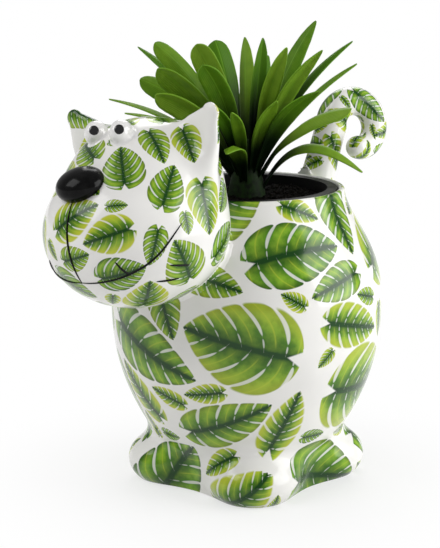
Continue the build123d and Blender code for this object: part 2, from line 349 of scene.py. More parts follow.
@dataclass(frozen=True)
class CeramicForm:
    """Sizes of the fired ceramic, and distance fields of its forms."""

    rim_height: float = 157.0
    belly_height: float = 95.0
    waist_height: float = 27.0
    rim_radius: float = 51.2
    belly_radius: float = 71.5
    waist_radius: float = 50.5
    base_radius: float = 42.0
    shoulder_power: float = 2.6
    shoulder_fullness: float = 2.0
    flank_power: float = 2.2
    foot_spread: float = 28.5
    foot_back: float = 0.5
    foot_rise: float = 10.0
    foot_radii: Triple = (23.0, 24.0, 16.0)
    foot_blend: float = 12.0
    head_pivot: Triple = (0.0, -84.0, 155.0)
    head_roll: float = 6.5
    skull: Triple = (0.0, -75.0, 172.0)
    skull_radii: Triple = (37.0, 35.0, 28.0)
    jowl: Triple = (0.0, -85.5, 146.5)
    jowl_radii: Triple = (44.0, 48.0, 38.5)
    head_blend: float = 14.0
    nape_y: float = -49.5
    nape_blend: float = 8.0
    ear_root: Triple = (27.0, -75.0, 177.0)
    ear_tip: Triple = (45.0, -76.0, 200.5)
    ear_shares: tuple[float, ...] = (0.0, 0.35, 0.7, 1.0)
    ear_radii: tuple[float, ...] = (17.0, 14.6, 10.4, 5.0)
    ear_flat: float = 0.55
    ear_blend: float = 8.0
    ear_slope: float = 0.75
    dish_radii: Triple = (9.0, 4.4, 14.0)
    dish_front: float = 6.6
    dish_share: float = 0.58
    dish_blend: float = 5.5
    ear_print_share: float = 0.42
    joint_blend: float = 5.0
    joint_sink: float = 1.6
    joint_trim: float = 0.72
    tail_y: float = 63.0
    tail_root_z: float = 112.0
    tail_root_inset: float = 16.0
    tail_turn: float = 20.0
    curl_reach: float = 20.0
    curl_z: float = 182.5
    curl_radius: float = 12.3
    curl_offset: float = 14.0
    curl_start: float = 185.0
    curl_sweep: float = 295.0
    tail_radii: Triple = (14.0, 8.6, 6.3)
    column_steps: int = 50
    curl_steps: int = 60

    def barrel_radius(self, height: np.ndarray) -> np.ndarray:
        """Outer radius of the barrel at each height, without the feet.

        Args:
            height: Heights in millimetres.

        Returns:
            One radius for each height.
        """
        rim, belly, waist = self.rim_height, self.belly_height, self.waist_height
        above = np.clip((height - belly) / (rim - belly), 0, 1)
        below = np.clip((belly - height) / (belly - waist), 0, 1)
        shoulder = (1 - above**self.shoulder_power) ** self.shoulder_fullness
        flank = 1 - below**self.flank_power
        foot = np.clip(height / waist, 0, 1) ** self.flank_power
        upper = self.rim_radius + (self.belly_radius - self.rim_radius) * shoulder
        middle = self.waist_radius + (self.belly_radius - self.waist_radius) * flank
        lower = self.base_radius + (self.waist_radius - self.base_radius) * foot
        return np.where(height > belly, upper, np.where(height > waist, middle, lower))

    def body(self, points: np.ndarray) -> np.ndarray:
        """Distance from the outside of the barrel and its feet.

        Args:
            points: Points to measure, one a row.

        Returns:
            One signed distance for each point.
        """
        distance = np.hypot(points[:, 0], points[:, 1]) - self.barrel_radius(points[:, 2])
        for side, end in ((-1, -1), (-1, 1), (1, -1), (1, 1)):
            x, y = side * self.foot_spread, self.foot_back + end * self.foot_spread
            foot = ellipsoid_distance(points, (x, y, self.foot_rise), self.foot_radii)
            distance = smooth_min(distance, foot, self.foot_blend)
        return distance

    def upright(self, points: np.ndarray, back: bool = False) -> np.ndarray:
        """Turns points of the rolled head upright, or upright ones back to the roll.

        Args:
            points: Points to turn.
            back: True to go from upright to rolled.

        Returns:
            The turned points.
        """
        angle = math.radians(-self.head_roll if back else self.head_roll)
        offset = points - np.asarray(self.head_pivot)
        x = offset[:, 0] * math.cos(angle) + offset[:, 2] * math.sin(angle)
        z = offset[:, 2] * math.cos(angle) - offset[:, 0] * math.sin(angle)
        return np.stack([x, offset[:, 1], z], axis=1) + np.asarray(self.head_pivot)

    def plain_head(self, upright: np.ndarray) -> np.ndarray:
        """Distance from the upright head without its ears.

        Args:
            upright: Points in the upright head's frame.

        Returns:
            One signed distance for each point.
        """
        skull = ellipsoid_distance(upright, self.skull, self.skull_radii)
        jowl = ellipsoid_distance(upright, self.jowl, self.jowl_radii)
        ball = smooth_min(skull, jowl, self.head_blend)
        return smooth_max(ball, upright[:, 1] - self.nape_y, self.nape_blend)

    def head(self, points: np.ndarray) -> np.ndarray:
        """Distance from the rolled head with its dished ears.

        Args:
            points: Points to measure, one a row.

        Returns:
            One signed distance for each point.
        """
        upright = self.upright(points)
        distance = self.plain_head(upright)
        for side in (-1, 1):
            mirror = np.array([side, 1, 1])
            root, tip = self.ear_root * mirror, self.ear_tip * mirror
            length = np.linalg.norm(tip - root)
            axis = unit(tip - root)
            across = unit((axis[2], 0, -axis[0]))
            depth = np.cross(axis, across)
            offset = upright - root
            along, wide, deep = offset @ axis, offset @ across, offset @ depth
            share = np.clip(along / length, 0, 1)
            radius = np.interp(share, self.ear_shares, self.ear_radii)
            over = along - share * length
            ear = np.sqrt(wide**2 + (deep / self.ear_flat) ** 2 + over**2) - radius
            front = np.sign(-depth[1]) * self.dish_front
            local = np.stack([wide, deep - front, along - length * self.dish_share], axis=1)
            dish = ellipsoid_distance(local, (0, 0, 0), self.dish_radii)
            ear = smooth_max(ear * self.ear_slope, -dish, self.dish_blend)
            distance = smooth_min(distance, ear, self.ear_blend)
        return distance

    def ear_front(self, side: int) -> np.ndarray:
        """A place just in front of one ear's dish, on the rolled head.

        Args:
            side: 1 for the cat's left ear, -1 for its right one.

        Returns:
            The place in millimetres.
        """
        root, tip = np.asarray(self.ear_root), np.asarray(self.ear_tip)
        middle = root + (tip - root) * self.ear_print_share - np.array([0, self.dish_front, 0])
        return self.upright((middle * (side, 1, 1))[None], back=True)[0]

    def tail_stations(self) -> tuple[np.ndarray, np.ndarray]:
        """Middle and radius of the tail, from its root to its tip.

        Returns:
            Middles, one a row, and a radius for each.
        """
        turn = math.radians(self.tail_turn)
        back = np.array([math.sin(turn), math.cos(turn), 0])
        aside = np.array([math.cos(turn), -math.sin(turn), 0])
        thick, middle, thin = self.tail_radii
        start = math.radians(self.curl_start)
        start_reach = self.curl_reach + self.curl_radius * math.cos(start)
        start_z = self.curl_z + self.curl_radius * math.sin(start)
        share = np.linspace(0, 1, self.column_steps, endpoint=False)
        reach = start_reach * share**3 - self.tail_root_inset * (1 - share) ** 2
        height = self.tail_root_z + share * (start_z - self.tail_root_z)
        radius = middle + (thick - middle) * (1 - share) ** 2
        turned = np.linspace(0, 1, self.curl_steps)
        angle = start - math.radians(self.curl_sweep) * turned
        reach = np.concatenate([reach, self.curl_reach + self.curl_radius * np.cos(angle)])
        height = np.concatenate([height, self.curl_z + self.curl_radius * np.sin(angle)])
        radius = np.concatenate([radius, middle + turned * (thin - middle)])
        sideways = np.concatenate([share * 0, self.curl_offset * turned**2])
        centres = np.array([0, self.tail_y, 0]) + reach[:, None] * back + sideways[:, None] * aside
        centres[:, 2] += height
        return centres, radius

    def tail(self, points: np.ndarray) -> np.ndarray:
        """Distance from the tail, before it meets the body.

        Args:
            points: Points to measure, one a row.

        Returns:
            One signed distance for each point.
        """
        distance = np.full(len(points), np.inf)
        for centre, radius in zip(*self.tail_stations()):
            np.minimum(distance, np.linalg.norm(points - centre, axis=1) - radius, out=distance)
        return distance

    def joined(self, limb: Field, ground: Field, blend: float) -> Field:
        """A limb with the glazed fillet where it meets its ground, cut just under that skin.

        Args:
            limb: Distance field of the limb.
            ground: Distance field of what it grows from.
            blend: Width of the fillet.

        Returns:
            Distance field of the piece.
        """

        def distance(points: np.ndarray) -> np.ndarray:
            """Distance from the limb and its fillet.

            Args:
                points: Points to measure, one a row.

            Returns:
                One signed distance for each point.
            """
            own, base = limb(points), ground(points)
            flare = smooth_min(own, base, blend)
            kept = np.maximum(-(base + self.joint_sink), own - self.joint_trim * blend)
            return np.maximum(flare, kept)

        return distance


class Term:
    """An output of a node tree that takes part in arithmetic."""

    def __init__(self, sheet: "Sheet", socket: bpy.types.NodeSocket) -> None:
        """Holds a socket and the sheet that it is drawn on."""
        self.sheet = sheet
        self.socket = socket

    def __add__(self, other: "Term | float") -> "Term":
        """Sum."""
        return self.sheet.math("ADD", self, other)

    def __sub__(self, other: "Term | float") -> "Term":
        """Difference."""
        return self.sheet.math("SUBTRACT", self, other)

    def __rsub__(self, other: float) -> "Term":
        """Difference from a number."""
        return self.sheet.math("SUBTRACT", other, self)

    def __mul__(self, other: "Term | float") -> "Term":
        """Product."""
        return self.sheet.math("MULTIPLY", self, other)

    def __truediv__(self, other: "Term | float") -> "Term":
        """Quotient."""
        return self.sheet.math("DIVIDE", self, other)

    def __pow__(self, other: float) -> "Term":
        """Power."""
        return self.sheet.math("POWER", self, other)

    def abs(self) -> "Term":
        """Size without sign."""
        return self.sheet.math("ABSOLUTE", self)

    def step(self, low: "Term | float", high: "Term | float") -> "Term":
        """0 below `low`, 1 above `high` and smooth between; turned round where low > high.

        Args:
            low: Where the ramp starts.
            high: Where it ends.

        Returns:
            The ramp.
        """
        node = self.sheet.add("ShaderNodeMapRange", interpolation_type="SMOOTHSTEP")
        for index, value in enumerate((self, low, high)):
            self.sheet.feed(node.inputs[index], value)
        return Term(self.sheet, node.outputs[0])

    def lens(self, middle: float, reach: float) -> "Term":
        """Half-height of a lens of half-height 1 over middle - reach to middle + reach."""
        share = (self - middle) / reach
        return self.sheet.math("SQRT", self.sheet.math("MAXIMUM", 1.0 - share * share, 0.0))


class Sheet:
    """A material and short ways to add nodes to it."""

    def __init__(self, name: str) -> None:
        """Starts a material with only a principled shader and its output.

        Args:
            name: Name of the material.
        """
        self.material = bpy.data.materials.new(name)
        self.material.use_nodes = True
        self.tree = self.material.node_tree
        self.shader = self.tree.nodes["Principled BSDF"]

    def add(self, kind: str, **settings: object) -> bpy.types.Node:
        """Adds a node and sets its properties.

        Args:
            kind: Type of the node.
            **settings: Properties of the node.

        Returns:
            The node.
        """
        node = self.tree.nodes.new(kind)
        for name, value in settings.items():
            setattr(node, name, value)
        return node

    def feed(self, socket: bpy.types.NodeSocket, value: object) -> None:
        """Links a term to a socket, or sets the socket's own value.

        Args:
            socket: The socket.
            value: A term, a colour or a plain value.
        """
        if isinstance(value, Term):
            self.tree.links.new(value.socket, socket)
        elif isinstance(value, tuple) and socket.type == "RGBA":
            socket.default_value = (*value, 1.0)
        else:
            socket.default_value = value

    def math(self, operation: str, *values: "Term | float") -> Term:
        """Adds a math node.

        Args:
            operation: What the node does.
            *values: Terms or numbers that it takes.

        Returns:
            Its result.
        """
        node = self.add("ShaderNodeMath", operation=operation)
        for index, value in enumerate(values):
            self.feed(node.inputs[index], value)
        return Term(self, node.outputs[0])

    def mix(self, share: "Term | float", first: "Term | Colour", second: "Term | Colour") -> Term:
        """Mixes two colours.

        Args:
            share: How far the second colour shows.
            first: Colour at 0.
            second: Colour at 1.

        Returns:
            The mixed colour.
        """
        node = self.add("ShaderNodeMix", data_type="RGBA")
        # A mix node keeps its colours at these places, after those for numbers and vectors
        for index, value in ((0, share), (6, first), (7, second)):
            self.feed(node.inputs[index], value)
        return Term(self, node.outputs[2])

    def place(self) -> Term:
        """The point's place in metres."""
        return Term(self, self.add("ShaderNodeTexCoord").outputs["Object"])

    def split(self, vector: Term) -> list[Term]:
        """The three parts of a vector.

        Args:
            vector: The vector.

        Returns:
            Its x, y and z.
        """
        node = self.add("ShaderNodeSeparateXYZ")
        self.feed(node.inputs[0], vector)
        return [Term(self, output) for output in node.outputs]

    def noise(self, scale: float, detail: float = 2.0) -> Term:
        """Noise from 0 to 1, `scale` features a metre.

        Args:
            scale: Features a metre.
            detail: Number of finer layers.

        Returns:
            The noise.
        """
        node = self.add("ShaderNodeTexNoise")
        self.feed(node.inputs["Vector"], self.place())
        self.feed(node.inputs["Scale"], scale)
        self.feed(node.inputs["Detail"], detail)
        return Term(self, node.outputs[0])

    def attribute(self, name: str) -> Term:
        """A named attribute of the mesh, as a vector."""
        return Term(self, self.add("ShaderNodeAttribute", attribute_name=name).outputs["Vector"])

    def bump(self, height: Term, strength: float, depth: float) -> None:
        """Dents the surface by a height from 0 to 1 that stands for `depth` metres.

        Args:
            height: The height.
            strength: How far the dents show.
            depth: Their depth in metres.
        """
        node = self.add("ShaderNodeBump")
        self.feed(node.inputs["Strength"], strength)
        self.feed(node.inputs["Distance"], depth)
        self.feed(node.inputs["Height"], height)
        self.feed(self.shader.inputs["Normal"], Term(self, node.outputs[0]))

    def finish(self, **values: object) -> bpy.types.Material:
        """Feeds the shader's sockets, named with _ for blanks, and gives the material.

        Args:
            **values: Value for each socket.

        Returns:
            The material.
        """
        for name, value in values.items():
            self.feed(self.shader.inputs[name.replace("_", " ")], value)
        return self.material


MOTIF_MAP = "motif"
MOTIF_KIND = "motif_kind"
BLADE = "blade"
HEEL = 0.12
OUTLINE_POWERS = (0.5, 0.8)
OUTLINE_PEAK = 0.4206
OUTLINE_LIMITS = (0.001, 0.999)


@dataclass(frozen=True)
class PrintedGlaze:
    """Glossy white glaze with a printed pattern of split leaves.

    A slit or hole has its middle and half-length, as shares of the way from the rib to the edge,
    and then its half-width, as a share of the leaf's length.
    """

    white: Colour = (0.82, 0.81, 0.785)
    shade: Colour = (0.76, 0.75, 0.73)
    dark: Colour = (0.004, 0.046, 0.002)
    green: Colour = (0.075, 0.225, 0.008)
    bright: Colour = (0.24, 0.43, 0.025)
    lime: Colour = (0.50, 0.54, 0.04)
    blur: float = 0.008
    fade: float = 0.03
    lean_rise: float = 1.2
    lean_start: float = 0.1
    lean_curve: float = 0.8
    stagger: float = 0.22
    scallop: float = 0.1
    scallop_power: float = 6.0
    heel_notch: float = 0.55
    slit: Triple = (0.70, 0.34, 0.017)
    slit_strength: float = 0.74
    hole: Triple = (0.2, 0.1, 0.006)
    hole_spread: float = 0.003
    hole_strength: float = 0.6

    def material(self) -> bpy.types.Material:
        """Draws each printed leaf in its own coordinates: x from heel to tip, y across.

        Returns:
            The material.
        """
        sheet = Sheet("printed_glaze")
        uv = Term(sheet, sheet.add("ShaderNodeUVMap", uv_map=MOTIF_MAP).outputs[0])
        along, across, _ = sheet.split(uv)
        lobes, width, tint = sheet.split(sheet.attribute(MOTIF_KIND))
        side = across.abs()
        low, high = OUTLINE_LIMITS
        share = sheet.math("MAXIMUM", (along + HEEL) / (1 + HEEL), low)
        share = sheet.math("MINIMUM", share, high)
        rise, fall = OUTLINE_POWERS
        edge = width * share**rise * (1.0 - share) ** fall / OUTLINE_PEAK
        lean = side * (along * self.lean_rise - self.lean_start) + side * side * self.lean_curve
        phase = (along - lean) * lobes + sheet.math("SIGN", across) * self.stagger
        turn = sheet.math("FRACT", phase)
        from_vein = (turn - 0.5).abs()
        between = from_vein * 2.0
        to_slit = (1.0 - between) / lobes * 0.5
        edge = edge * (1.0 - between**self.scallop_power * self.scallop)
        out = side / edge
        middle, reach, half = self.slit
        slit = out.lens(middle, reach) * half
        slit = to_slit.step(slit + self.blur * 0.5, slit - self.blur * 0.5) * out.step(0.3, 0.42)
        middle, reach, half = self.hole
        hole = out.lens(middle, reach) * (tint * self.hole_spread + half)
        hole = to_slit.step(hole + self.blur * 0.4, hole - self.blur * 0.4) * out.step(0.34, 0.28)
        leaf = (edge - side).step(0.0, tint * self.fade + self.blur)
        leaf = leaf * (side + along * self.heel_notch).step(0.0, 0.02)
        leaf = leaf * (1.0 - slit * self.slit_strength) * (1.0 - hole * self.hole_strength)
        wash = sheet.noise(260.0, 3.0)
        streak = (between * 0.6 + wash * 0.8 - 0.25).step(0.1, 0.75)
        colour = sheet.mix(streak, self.bright, self.green)
        heart = out.step(0.7, 0.0) * 0.75 + side.step(0.05, 0.0) * 0.4 + (wash - 0.5) * 0.3
        colour = sheet.mix(heart, colour, self.dark)
        margin = out.step(0.72, 1.0)
        colour = sheet.mix(margin * (1.0 - tint) * 0.75, colour, self.dark)
        colour = sheet.mix(out.step(0.35, 0.95) * tint, colour, self.lime)
        vein = from_vein.step(0.045, 0.02) * out.step(0.1, 0.3) * 0.35
        colour = sheet.mix(vein, colour, self.lime)
        ground = sheet.mix(sheet.noise(28.0, 3.0).step(0.35, 0.75), self.white, self.shade)
        colour = sheet.mix(leaf, ground, colour)
        sheet.bump(sheet.noise(70.0, 2.0), 0.06, 0.002)
        return sheet.finish(
            Base_Color=colour, Roughness=0.13, Specular_IOR_Level=0.3,
            Coat_Weight=0.1, Coat_Roughness=0.04,
        )


@dataclass(frozen=True)
class EyeGlaze:
    """White glaze with a painted pupil, whose sizes are in millimetres."""

    name: str
    pupil: Triple
    pupil_radius: float = 2.45
    pupil_blur: float = 0.12
    pupil_wobble: float = 0.4
    white: Colour = (0.84, 0.83, 0.82)
    shade: Colour = (0.78, 0.765, 0.755)
    black: Colour = (0.006, 0.006, 0.007)

    def material(self) -> bpy.types.Material:
        """Paints the pupil round its middle on the eye's surface.

        Returns:
            The material.
        """
        sheet = Sheet(self.name)
        node = sheet.add("ShaderNodeVectorMath", operation="DISTANCE")
        sheet.feed(node.inputs[0], sheet.place())
        node.inputs[1].default_value = [value * MM for value in self.pupil]
        wobble = (sheet.noise(400.0) - 0.5) * (self.pupil_wobble * MM)
        away = Term(sheet, node.outputs["Value"]) + wobble
        outer, inner = self.pupil_radius + self.pupil_blur, self.pupil_radius - self.pupil_blur
        pupil = away.step(outer * MM, inner * MM)
        ground = sheet.mix(sheet.noise(60.0).step(0.35, 0.75), self.white, self.shade)
        sheet.bump(sheet.noise(110.0), 0.05, 0.001)
        return sheet.finish(
            Base_Color=sheet.mix(pupil, ground, self.black), Roughness=0.1,
            Coat_Weight=0.35, Coat_Roughness=0.04,
        )


@dataclass(frozen=True)
class PlainFinish:
    """What the plain finishes share: two colours in patches, and dents.

    A grain has its features a metre and its detail, and dents have their strength and depth in metres.
    """

    name: str
    ground: Colour
    patch: Colour
    grain: Pair
    ramp: Pair
    roughness: float
    patch_roughness: float = 0.0
    specular: float = 0.5
    dent_grain: Pair | None = None
    dents: Pair = (0.0, 0.0)

    def material(self) -> bpy.types.Material:
        """Makes the finish.

        Returns:
            The material.
        """
        sheet = Sheet(self.name)
        patches = sheet.noise(*self.grain).step(*self.ramp)
        rough = self.roughness
        if self.patch_roughness:
            rough = patches * self.patch_roughness + self.roughness
        if self.dent_grain is not None:
            sheet.bump(sheet.noise(*self.dent_grain), *self.dents)
        return sheet.finish(
            Base_Color=sheet.mix(patches, self.ground, self.patch), Roughness=rough,
            Specular_IOR_Level=self.specular,
        )


@dataclass(frozen=True)
class BlackGlaze(PlainFinish):
    """Thick black glaze of the nose and of the painted strokes, a little uneven in depth."""

    name: str = "black_glaze"
    ground: Colour = (0.002, 0.002, 0.002)
    patch: Colour = (0.006, 0.006, 0.006)
    grain: Pair = (240.0, 3.0)
    ramp: Pair = (0.35, 0.75)
    roughness: float = 0.16
    specular: float = 0.11
    dent_grain: Pair = (150.0, 2.0)
    dents: Pair = (0.08, 0.001)


@dataclass(frozen=True)
class PotPlastic(PlainFinish):
    """Thin black moulded plastic of a nursery pot, with an orange-peel skin and a little dust."""

    name: str = "pot_plastic"
    ground: Colour = (0.004, 0.004, 0.004)
    patch: Colour = (0.010, 0.009, 0.008)
    grain: Pair = (90.0, 4.0)
    ramp: Pair = (0.5, 0.8)
    roughness: float = 0.5
    patch_roughness: float = 0.2
    specular: float = 0.12
    dent_grain: Pair = (900.0, 2.0)
    dents: Pair = (0.15, 0.0004)


@dataclass(frozen=True)
class PottingSoil(PlainFinish):
    """Dark, damp, crumbly potting soil."""

    name: str = "potting_soil"
    ground: Colour = (0.002, 0.0018, 0.0014)
    patch: Colour = (0.009, 0.0065, 0.0045)
    grain: Pair = (520.0, 5.0)
    ramp: Pair = (0.4, 0.75)
    roughness: float = 0.9
    specular: float = 0.06
    dent_grain: Pair = (520.0, 5.0)
    dents: Pair = (0.9, 0.0012)


@dataclass(frozen=True)
class RootSkin(PlainFinish):
    """Pale fine roots on the outside of the root ball, stained with soil in places."""

    name: str = "root_skin"
    ground: Colour = (0.38, 0.30, 0.18)
    patch: Colour = (0.13, 0.085, 0.045)
    grain: Pair = (90.0, 3.0)
    ramp: Pair = (0.4, 0.65)
    roughness: float = 0.7


@dataclass(frozen=True)
class StemSkin(PlainFinish):
    """Streaky leaf bases of the crown, painted near-black green as shade of the plant's heart."""

    name: str = "stem_skin"
    # Painted shade: both colours are near-black green for the shaded heart of the plant
    ground: Colour = (0.003, 0.006, 0.002)
    patch: Colour = (0.008, 0.024, 0.003)
    grain: Pair = (380.0, 4.0)
    ramp: Pair = (0.3, 0.7)
    roughness: float = 0.6
    specular: float = 0.1
    dent_grain: Pair = (380.0, 4.0)
    dents: Pair = (0.4, 0.0006)


@dataclass(frozen=True)
class LeafSkin:
    """Waxy skin of the strap leaves, with a pale rib, fine lengthwise veins and painted shade towards
    the crown.
    """

    # The deep colour darkens the veins, and is also the painted shade near the crown
    deep: Colour = (0.002, 0.008, 0.001)
    green: Colour = (0.075, 0.20, 0.004)
    young: Colour = (0.27, 0.44, 0.03)
    rib: Colour = (0.18, 0.38, 0.03)
    vein_turns: float = 46.0
    vein_shift: float = 9.0

    def material(self) -> bpy.types.Material:
        """Colours a blade by how far along and across it a point lies.

        Returns:
            The material.
        """
        sheet = Sheet("leaf_skin")
        along, across, seed = sheet.split(sheet.attribute(BLADE))
        side = across.abs()
        fleck = sheet.noise(170.0, 4.0)
        veins = sheet.math("SINE", side * self.vein_turns + seed * self.vein_shift) * 0.5 + 0.5
        youth = (seed * 0.75 + (fleck - 0.5) * 0.5).step(0.1, 1.0) * 0.8
        colour = sheet.mix(youth, self.green, self.young)
        colour = sheet.mix(veins * 0.22, colour, self.deep)
        colour = sheet.mix(side.step(0.07, 0.02) * 0.5, colour, self.rib)
        colour = sheet.mix(side.step(0.88, 1.0) * 0.35, colour, self.rib)
        # Painted shade: each blade darkens to the deep colour towards the crown, where the plant's heart
        # is shaded
        lit = (along + (seed - 0.5) * 0.2).step(0.26, 0.74)
        colour = sheet.mix(lit, self.deep, colour)
        sheet.bump(veins, 0.25, 0.0003)
        return sheet.finish(
            Base_Color=colour, Roughness=fleck * 0.12 + 0.38, Specular_IOR_Level=0.14
        )


def shown(name: str, mesh: bpy.types.Mesh, material: bpy.types.Material | None) -> bpy.types.Object:
    """Puts a mesh into the scene.

    Args:
        name: Name of the piece.
        mesh: Its mesh, in place.
        material: Its finish, or None where the mesh already has one.

    Returns:
        The object, at the origin.
    """
    piece = bpy.data.objects.new(name, mesh)
    if material is not None:
        mesh.materials.clear()
        mesh.materials.append(material)
    bpy.context.scene.collection.objects.link(piece)
    return piece


def plain(worker: bpy.types.Object, name: str) -> bpy.types.Object:
    """Turns an object with modifiers into a plain mesh and removes the worker.

    Args:
        worker: Object whose modifiers make the piece.
        name: Name of the piece.

    Returns:
        The piece.
    """
    graph = bpy.context.evaluated_depsgraph_get()
    mesh = bpy.data.meshes.new_from_object(
        worker.evaluated_get(graph), preserve_all_data_layers=True, depsgraph=graph
    )
    mesh.name = name
    piece = shown(name, mesh, None)
    bpy.data.objects.remove(worker)
    return piece


def hand_over(piece: bpy.types.Object, body: Body, slot: Slot, *nodes: str) -> None:
    """Sets a piece on its body and hides the CAD nodes that it stands for.

    Args:
        piece: The finished piece.
        body: The body that carries it.
        slot: Its material slot; not used.
        *nodes: CAD nodes that it replaces.
    """
    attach(piece, body.value)
    if nodes:
        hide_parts(*nodes)
    LOG.info("%s: %d faces on %s", piece.name, len(piece.data.polygons), body.value)


class NodeRecipe:
    """A geometry node tree built in the script, with named inputs."""

    def __init__(self, name: str, inputs: Sequence[tuple[str, str]]) -> None:
        """Starts a tree with a geometry input and output.

        Args:
            name: Name of the tree.
            inputs: Name and socket type of each further input.
        """
        self.tree = bpy.data.node_groups.new(name, "GeometryNodeTree")
        face = self.tree.interface
        face.new_socket("Geometry", in_out="INPUT", socket_type="NodeSocketGeometry")
        face.new_socket("Geometry", in_out="OUTPUT", socket_type="NodeSocketGeometry")
        self.keys = {}
        for label, kind in inputs:
            socket = face.new_socket(label, in_out="INPUT", socket_type=kind)
            self.keys[label] = socket.identifier
        self.source = self.tree.nodes.new("NodeGroupInput")
        self.sink = self.tree.nodes.new("NodeGroupOutput")

    def add(self, kind: str, links: dict | None = None, **settings: object) -> bpy.types.Node:
        """Adds a node.

        Args:
            kind: Type of the node.
            links: Value or socket for each input, by name or number.
            **settings: Properties of the node.

        Returns:
            The node.
        """
        node = self.tree.nodes.new(kind)
        for name, value in settings.items():
            setattr(node, name, value)
        for key, value in (links or {}).items():
            if isinstance(value, bpy.types.NodeSocket):
                self.tree.links.new(value, node.inputs[key])
            else:
                node.inputs[key].default_value = value
        return node

    def entry(self, label: str) -> bpy.types.NodeSocket:
        """The tree's own input of that name."""
        return self.source.outputs[label]

    def math(self, operation: str, *values: object) -> bpy.types.NodeSocket:
        """Output of a math node."""
        return self.add("ShaderNodeMath", dict(enumerate(values)), operation=operation).outputs[0]

    def close(self, geometry: bpy.types.NodeSocket, material: str) -> None:
        """Ends the tree in Realize Instances, Set Material and the output.

        Args:
            geometry: What the tree has made.
            material: Name of the input with its finish.
        """
        real = self.add("GeometryNodeRealizeInstances", {0: geometry})
        finish = self.entry(material)
        dressed = self.add("GeometryNodeSetMaterial", {0: real.outputs[0], "Material": finish})
        self.tree.links.new(dressed.outputs[0], self.sink.inputs[0])

    def apply(self, worker: bpy.types.Object, **values: object) -> None:
        """Puts the tree on an object with its inputs set.

        Args:
            worker: The object.
            **values: Value for each named input.
        """
        modifier = worker.modifiers.new("recipe", "NODES")
        modifier.node_group = self.tree
        for label, key in self.keys.items():
            modifier[key] = values[label]


def path_object(name: str, paths: Sequence[np.ndarray], radii: Sequence[np.ndarray],
                tilts: Sequence[np.ndarray] | None = None) -> bpy.types.Object:
    """Makes a curve object of open paths.

    Args:
        name: Name of the object.
        paths: Points of each path in millimetres.
        radii: Radius at each point in millimetres.
        tilts: Turn about the path at each point in radians, or None.

    Returns:
        The curve object.
    """
    curve = bpy.data.curves.new(name, "CURVE")
    curve.dimensions = "3D"
    for number, (path, radius) in enumerate(zip(paths, radii)):
        spline = curve.splines.new("POLY")
        spline.points.add(len(path) - 1)
        for index, point in enumerate(spline.points):
            point.co = (*(path[index] * MM), 1.0)
            point.radius = float(radius[index] * MM)
            point.tilt = float(tilts[number][index]) if tilts is not None else 0.0
    worker = bpy.data.objects.new(name, curve)
    bpy.context.scene.collection.objects.link(worker)
    return worker


@dataclass(frozen=True)
class Motif:
    """One printed leaf: its place on the glaze and how it is drawn."""

    centre: np.ndarray
    normal: np.ndarray
    along: np.ndarray
    length: float
    width: float
    lobes: float
    tint: float
    middle: float = 0.44

    def local(self, points: np.ndarray) -> np.ndarray:
        """Leaf coordinates of points on the glaze, in lengths of the leaf.

        Args:
            points: Points in millimetres.

        Returns:
            Along and across for each point.
        """
        offset = points - self.centre
        across = np.cross(self.normal, self.along)
        flat = np.stack([offset @ self.along, offset @ across], axis=1)
        reach = np.linalg.norm(flat, axis=1)
        stretch = np.linalg.norm(offset, axis=1) / np.maximum(reach, TINY)
        return flat * stretch[:, None] / self.length + np.array([self.middle, 0.0])

    def edge(self, along: np.ndarray) -> np.ndarray:
        """Half-width of the leaf at each place along it.

        Args:
            along: Places along the leaf, in its lengths.

        Returns:
            One half-width for each place, in the leaf's lengths.
        """
        share = np.clip((along + HEEL) / (1 + HEEL), *OUTLINE_LIMITS)
        rise, fall = OUTLINE_POWERS
        return self.width * share**rise * (1 - share) ** fall / OUTLINE_PEAK

    def beyond(self, local: np.ndarray) -> np.ndarray:
        """How far each point lies outside the leaf's outline, in millimetres."""
        over = np.maximum(local[:, 0] - 1, -HEEL - local[:, 0])
        return np.maximum(np.abs(local[:, 1]) - self.edge(local[:, 0]), over) * self.length


@dataclass
class Skin:
    """Points all over the outside of the ceramic, and the way that each faces."""

    points: np.ndarray
    normals: np.ndarray
    regions: np.ndarray
    tree: KDTree = field(init=False)

    def __post_init__(self) -> None:
        """Sorts the points for quick searches."""
        self.tree = KDTree(len(self.points))
        for index, point in enumerate(self.points):
            self.tree.insert(point, index)
        self.tree.balance()

    def nearest(self, places: np.ndarray) -> list[int]:
        """Numbers of the skin's points nearest to each place."""
        return [self.tree.find(place)[1] for place in places]


@dataclass(frozen=True)
class PrintPlan:
    """Leaves for one ceramic piece: lengths with throws, and half-widths as shares of the length."""

    sizes: tuple[tuple[float, int], ...]
    widths: tuple[float, ...]


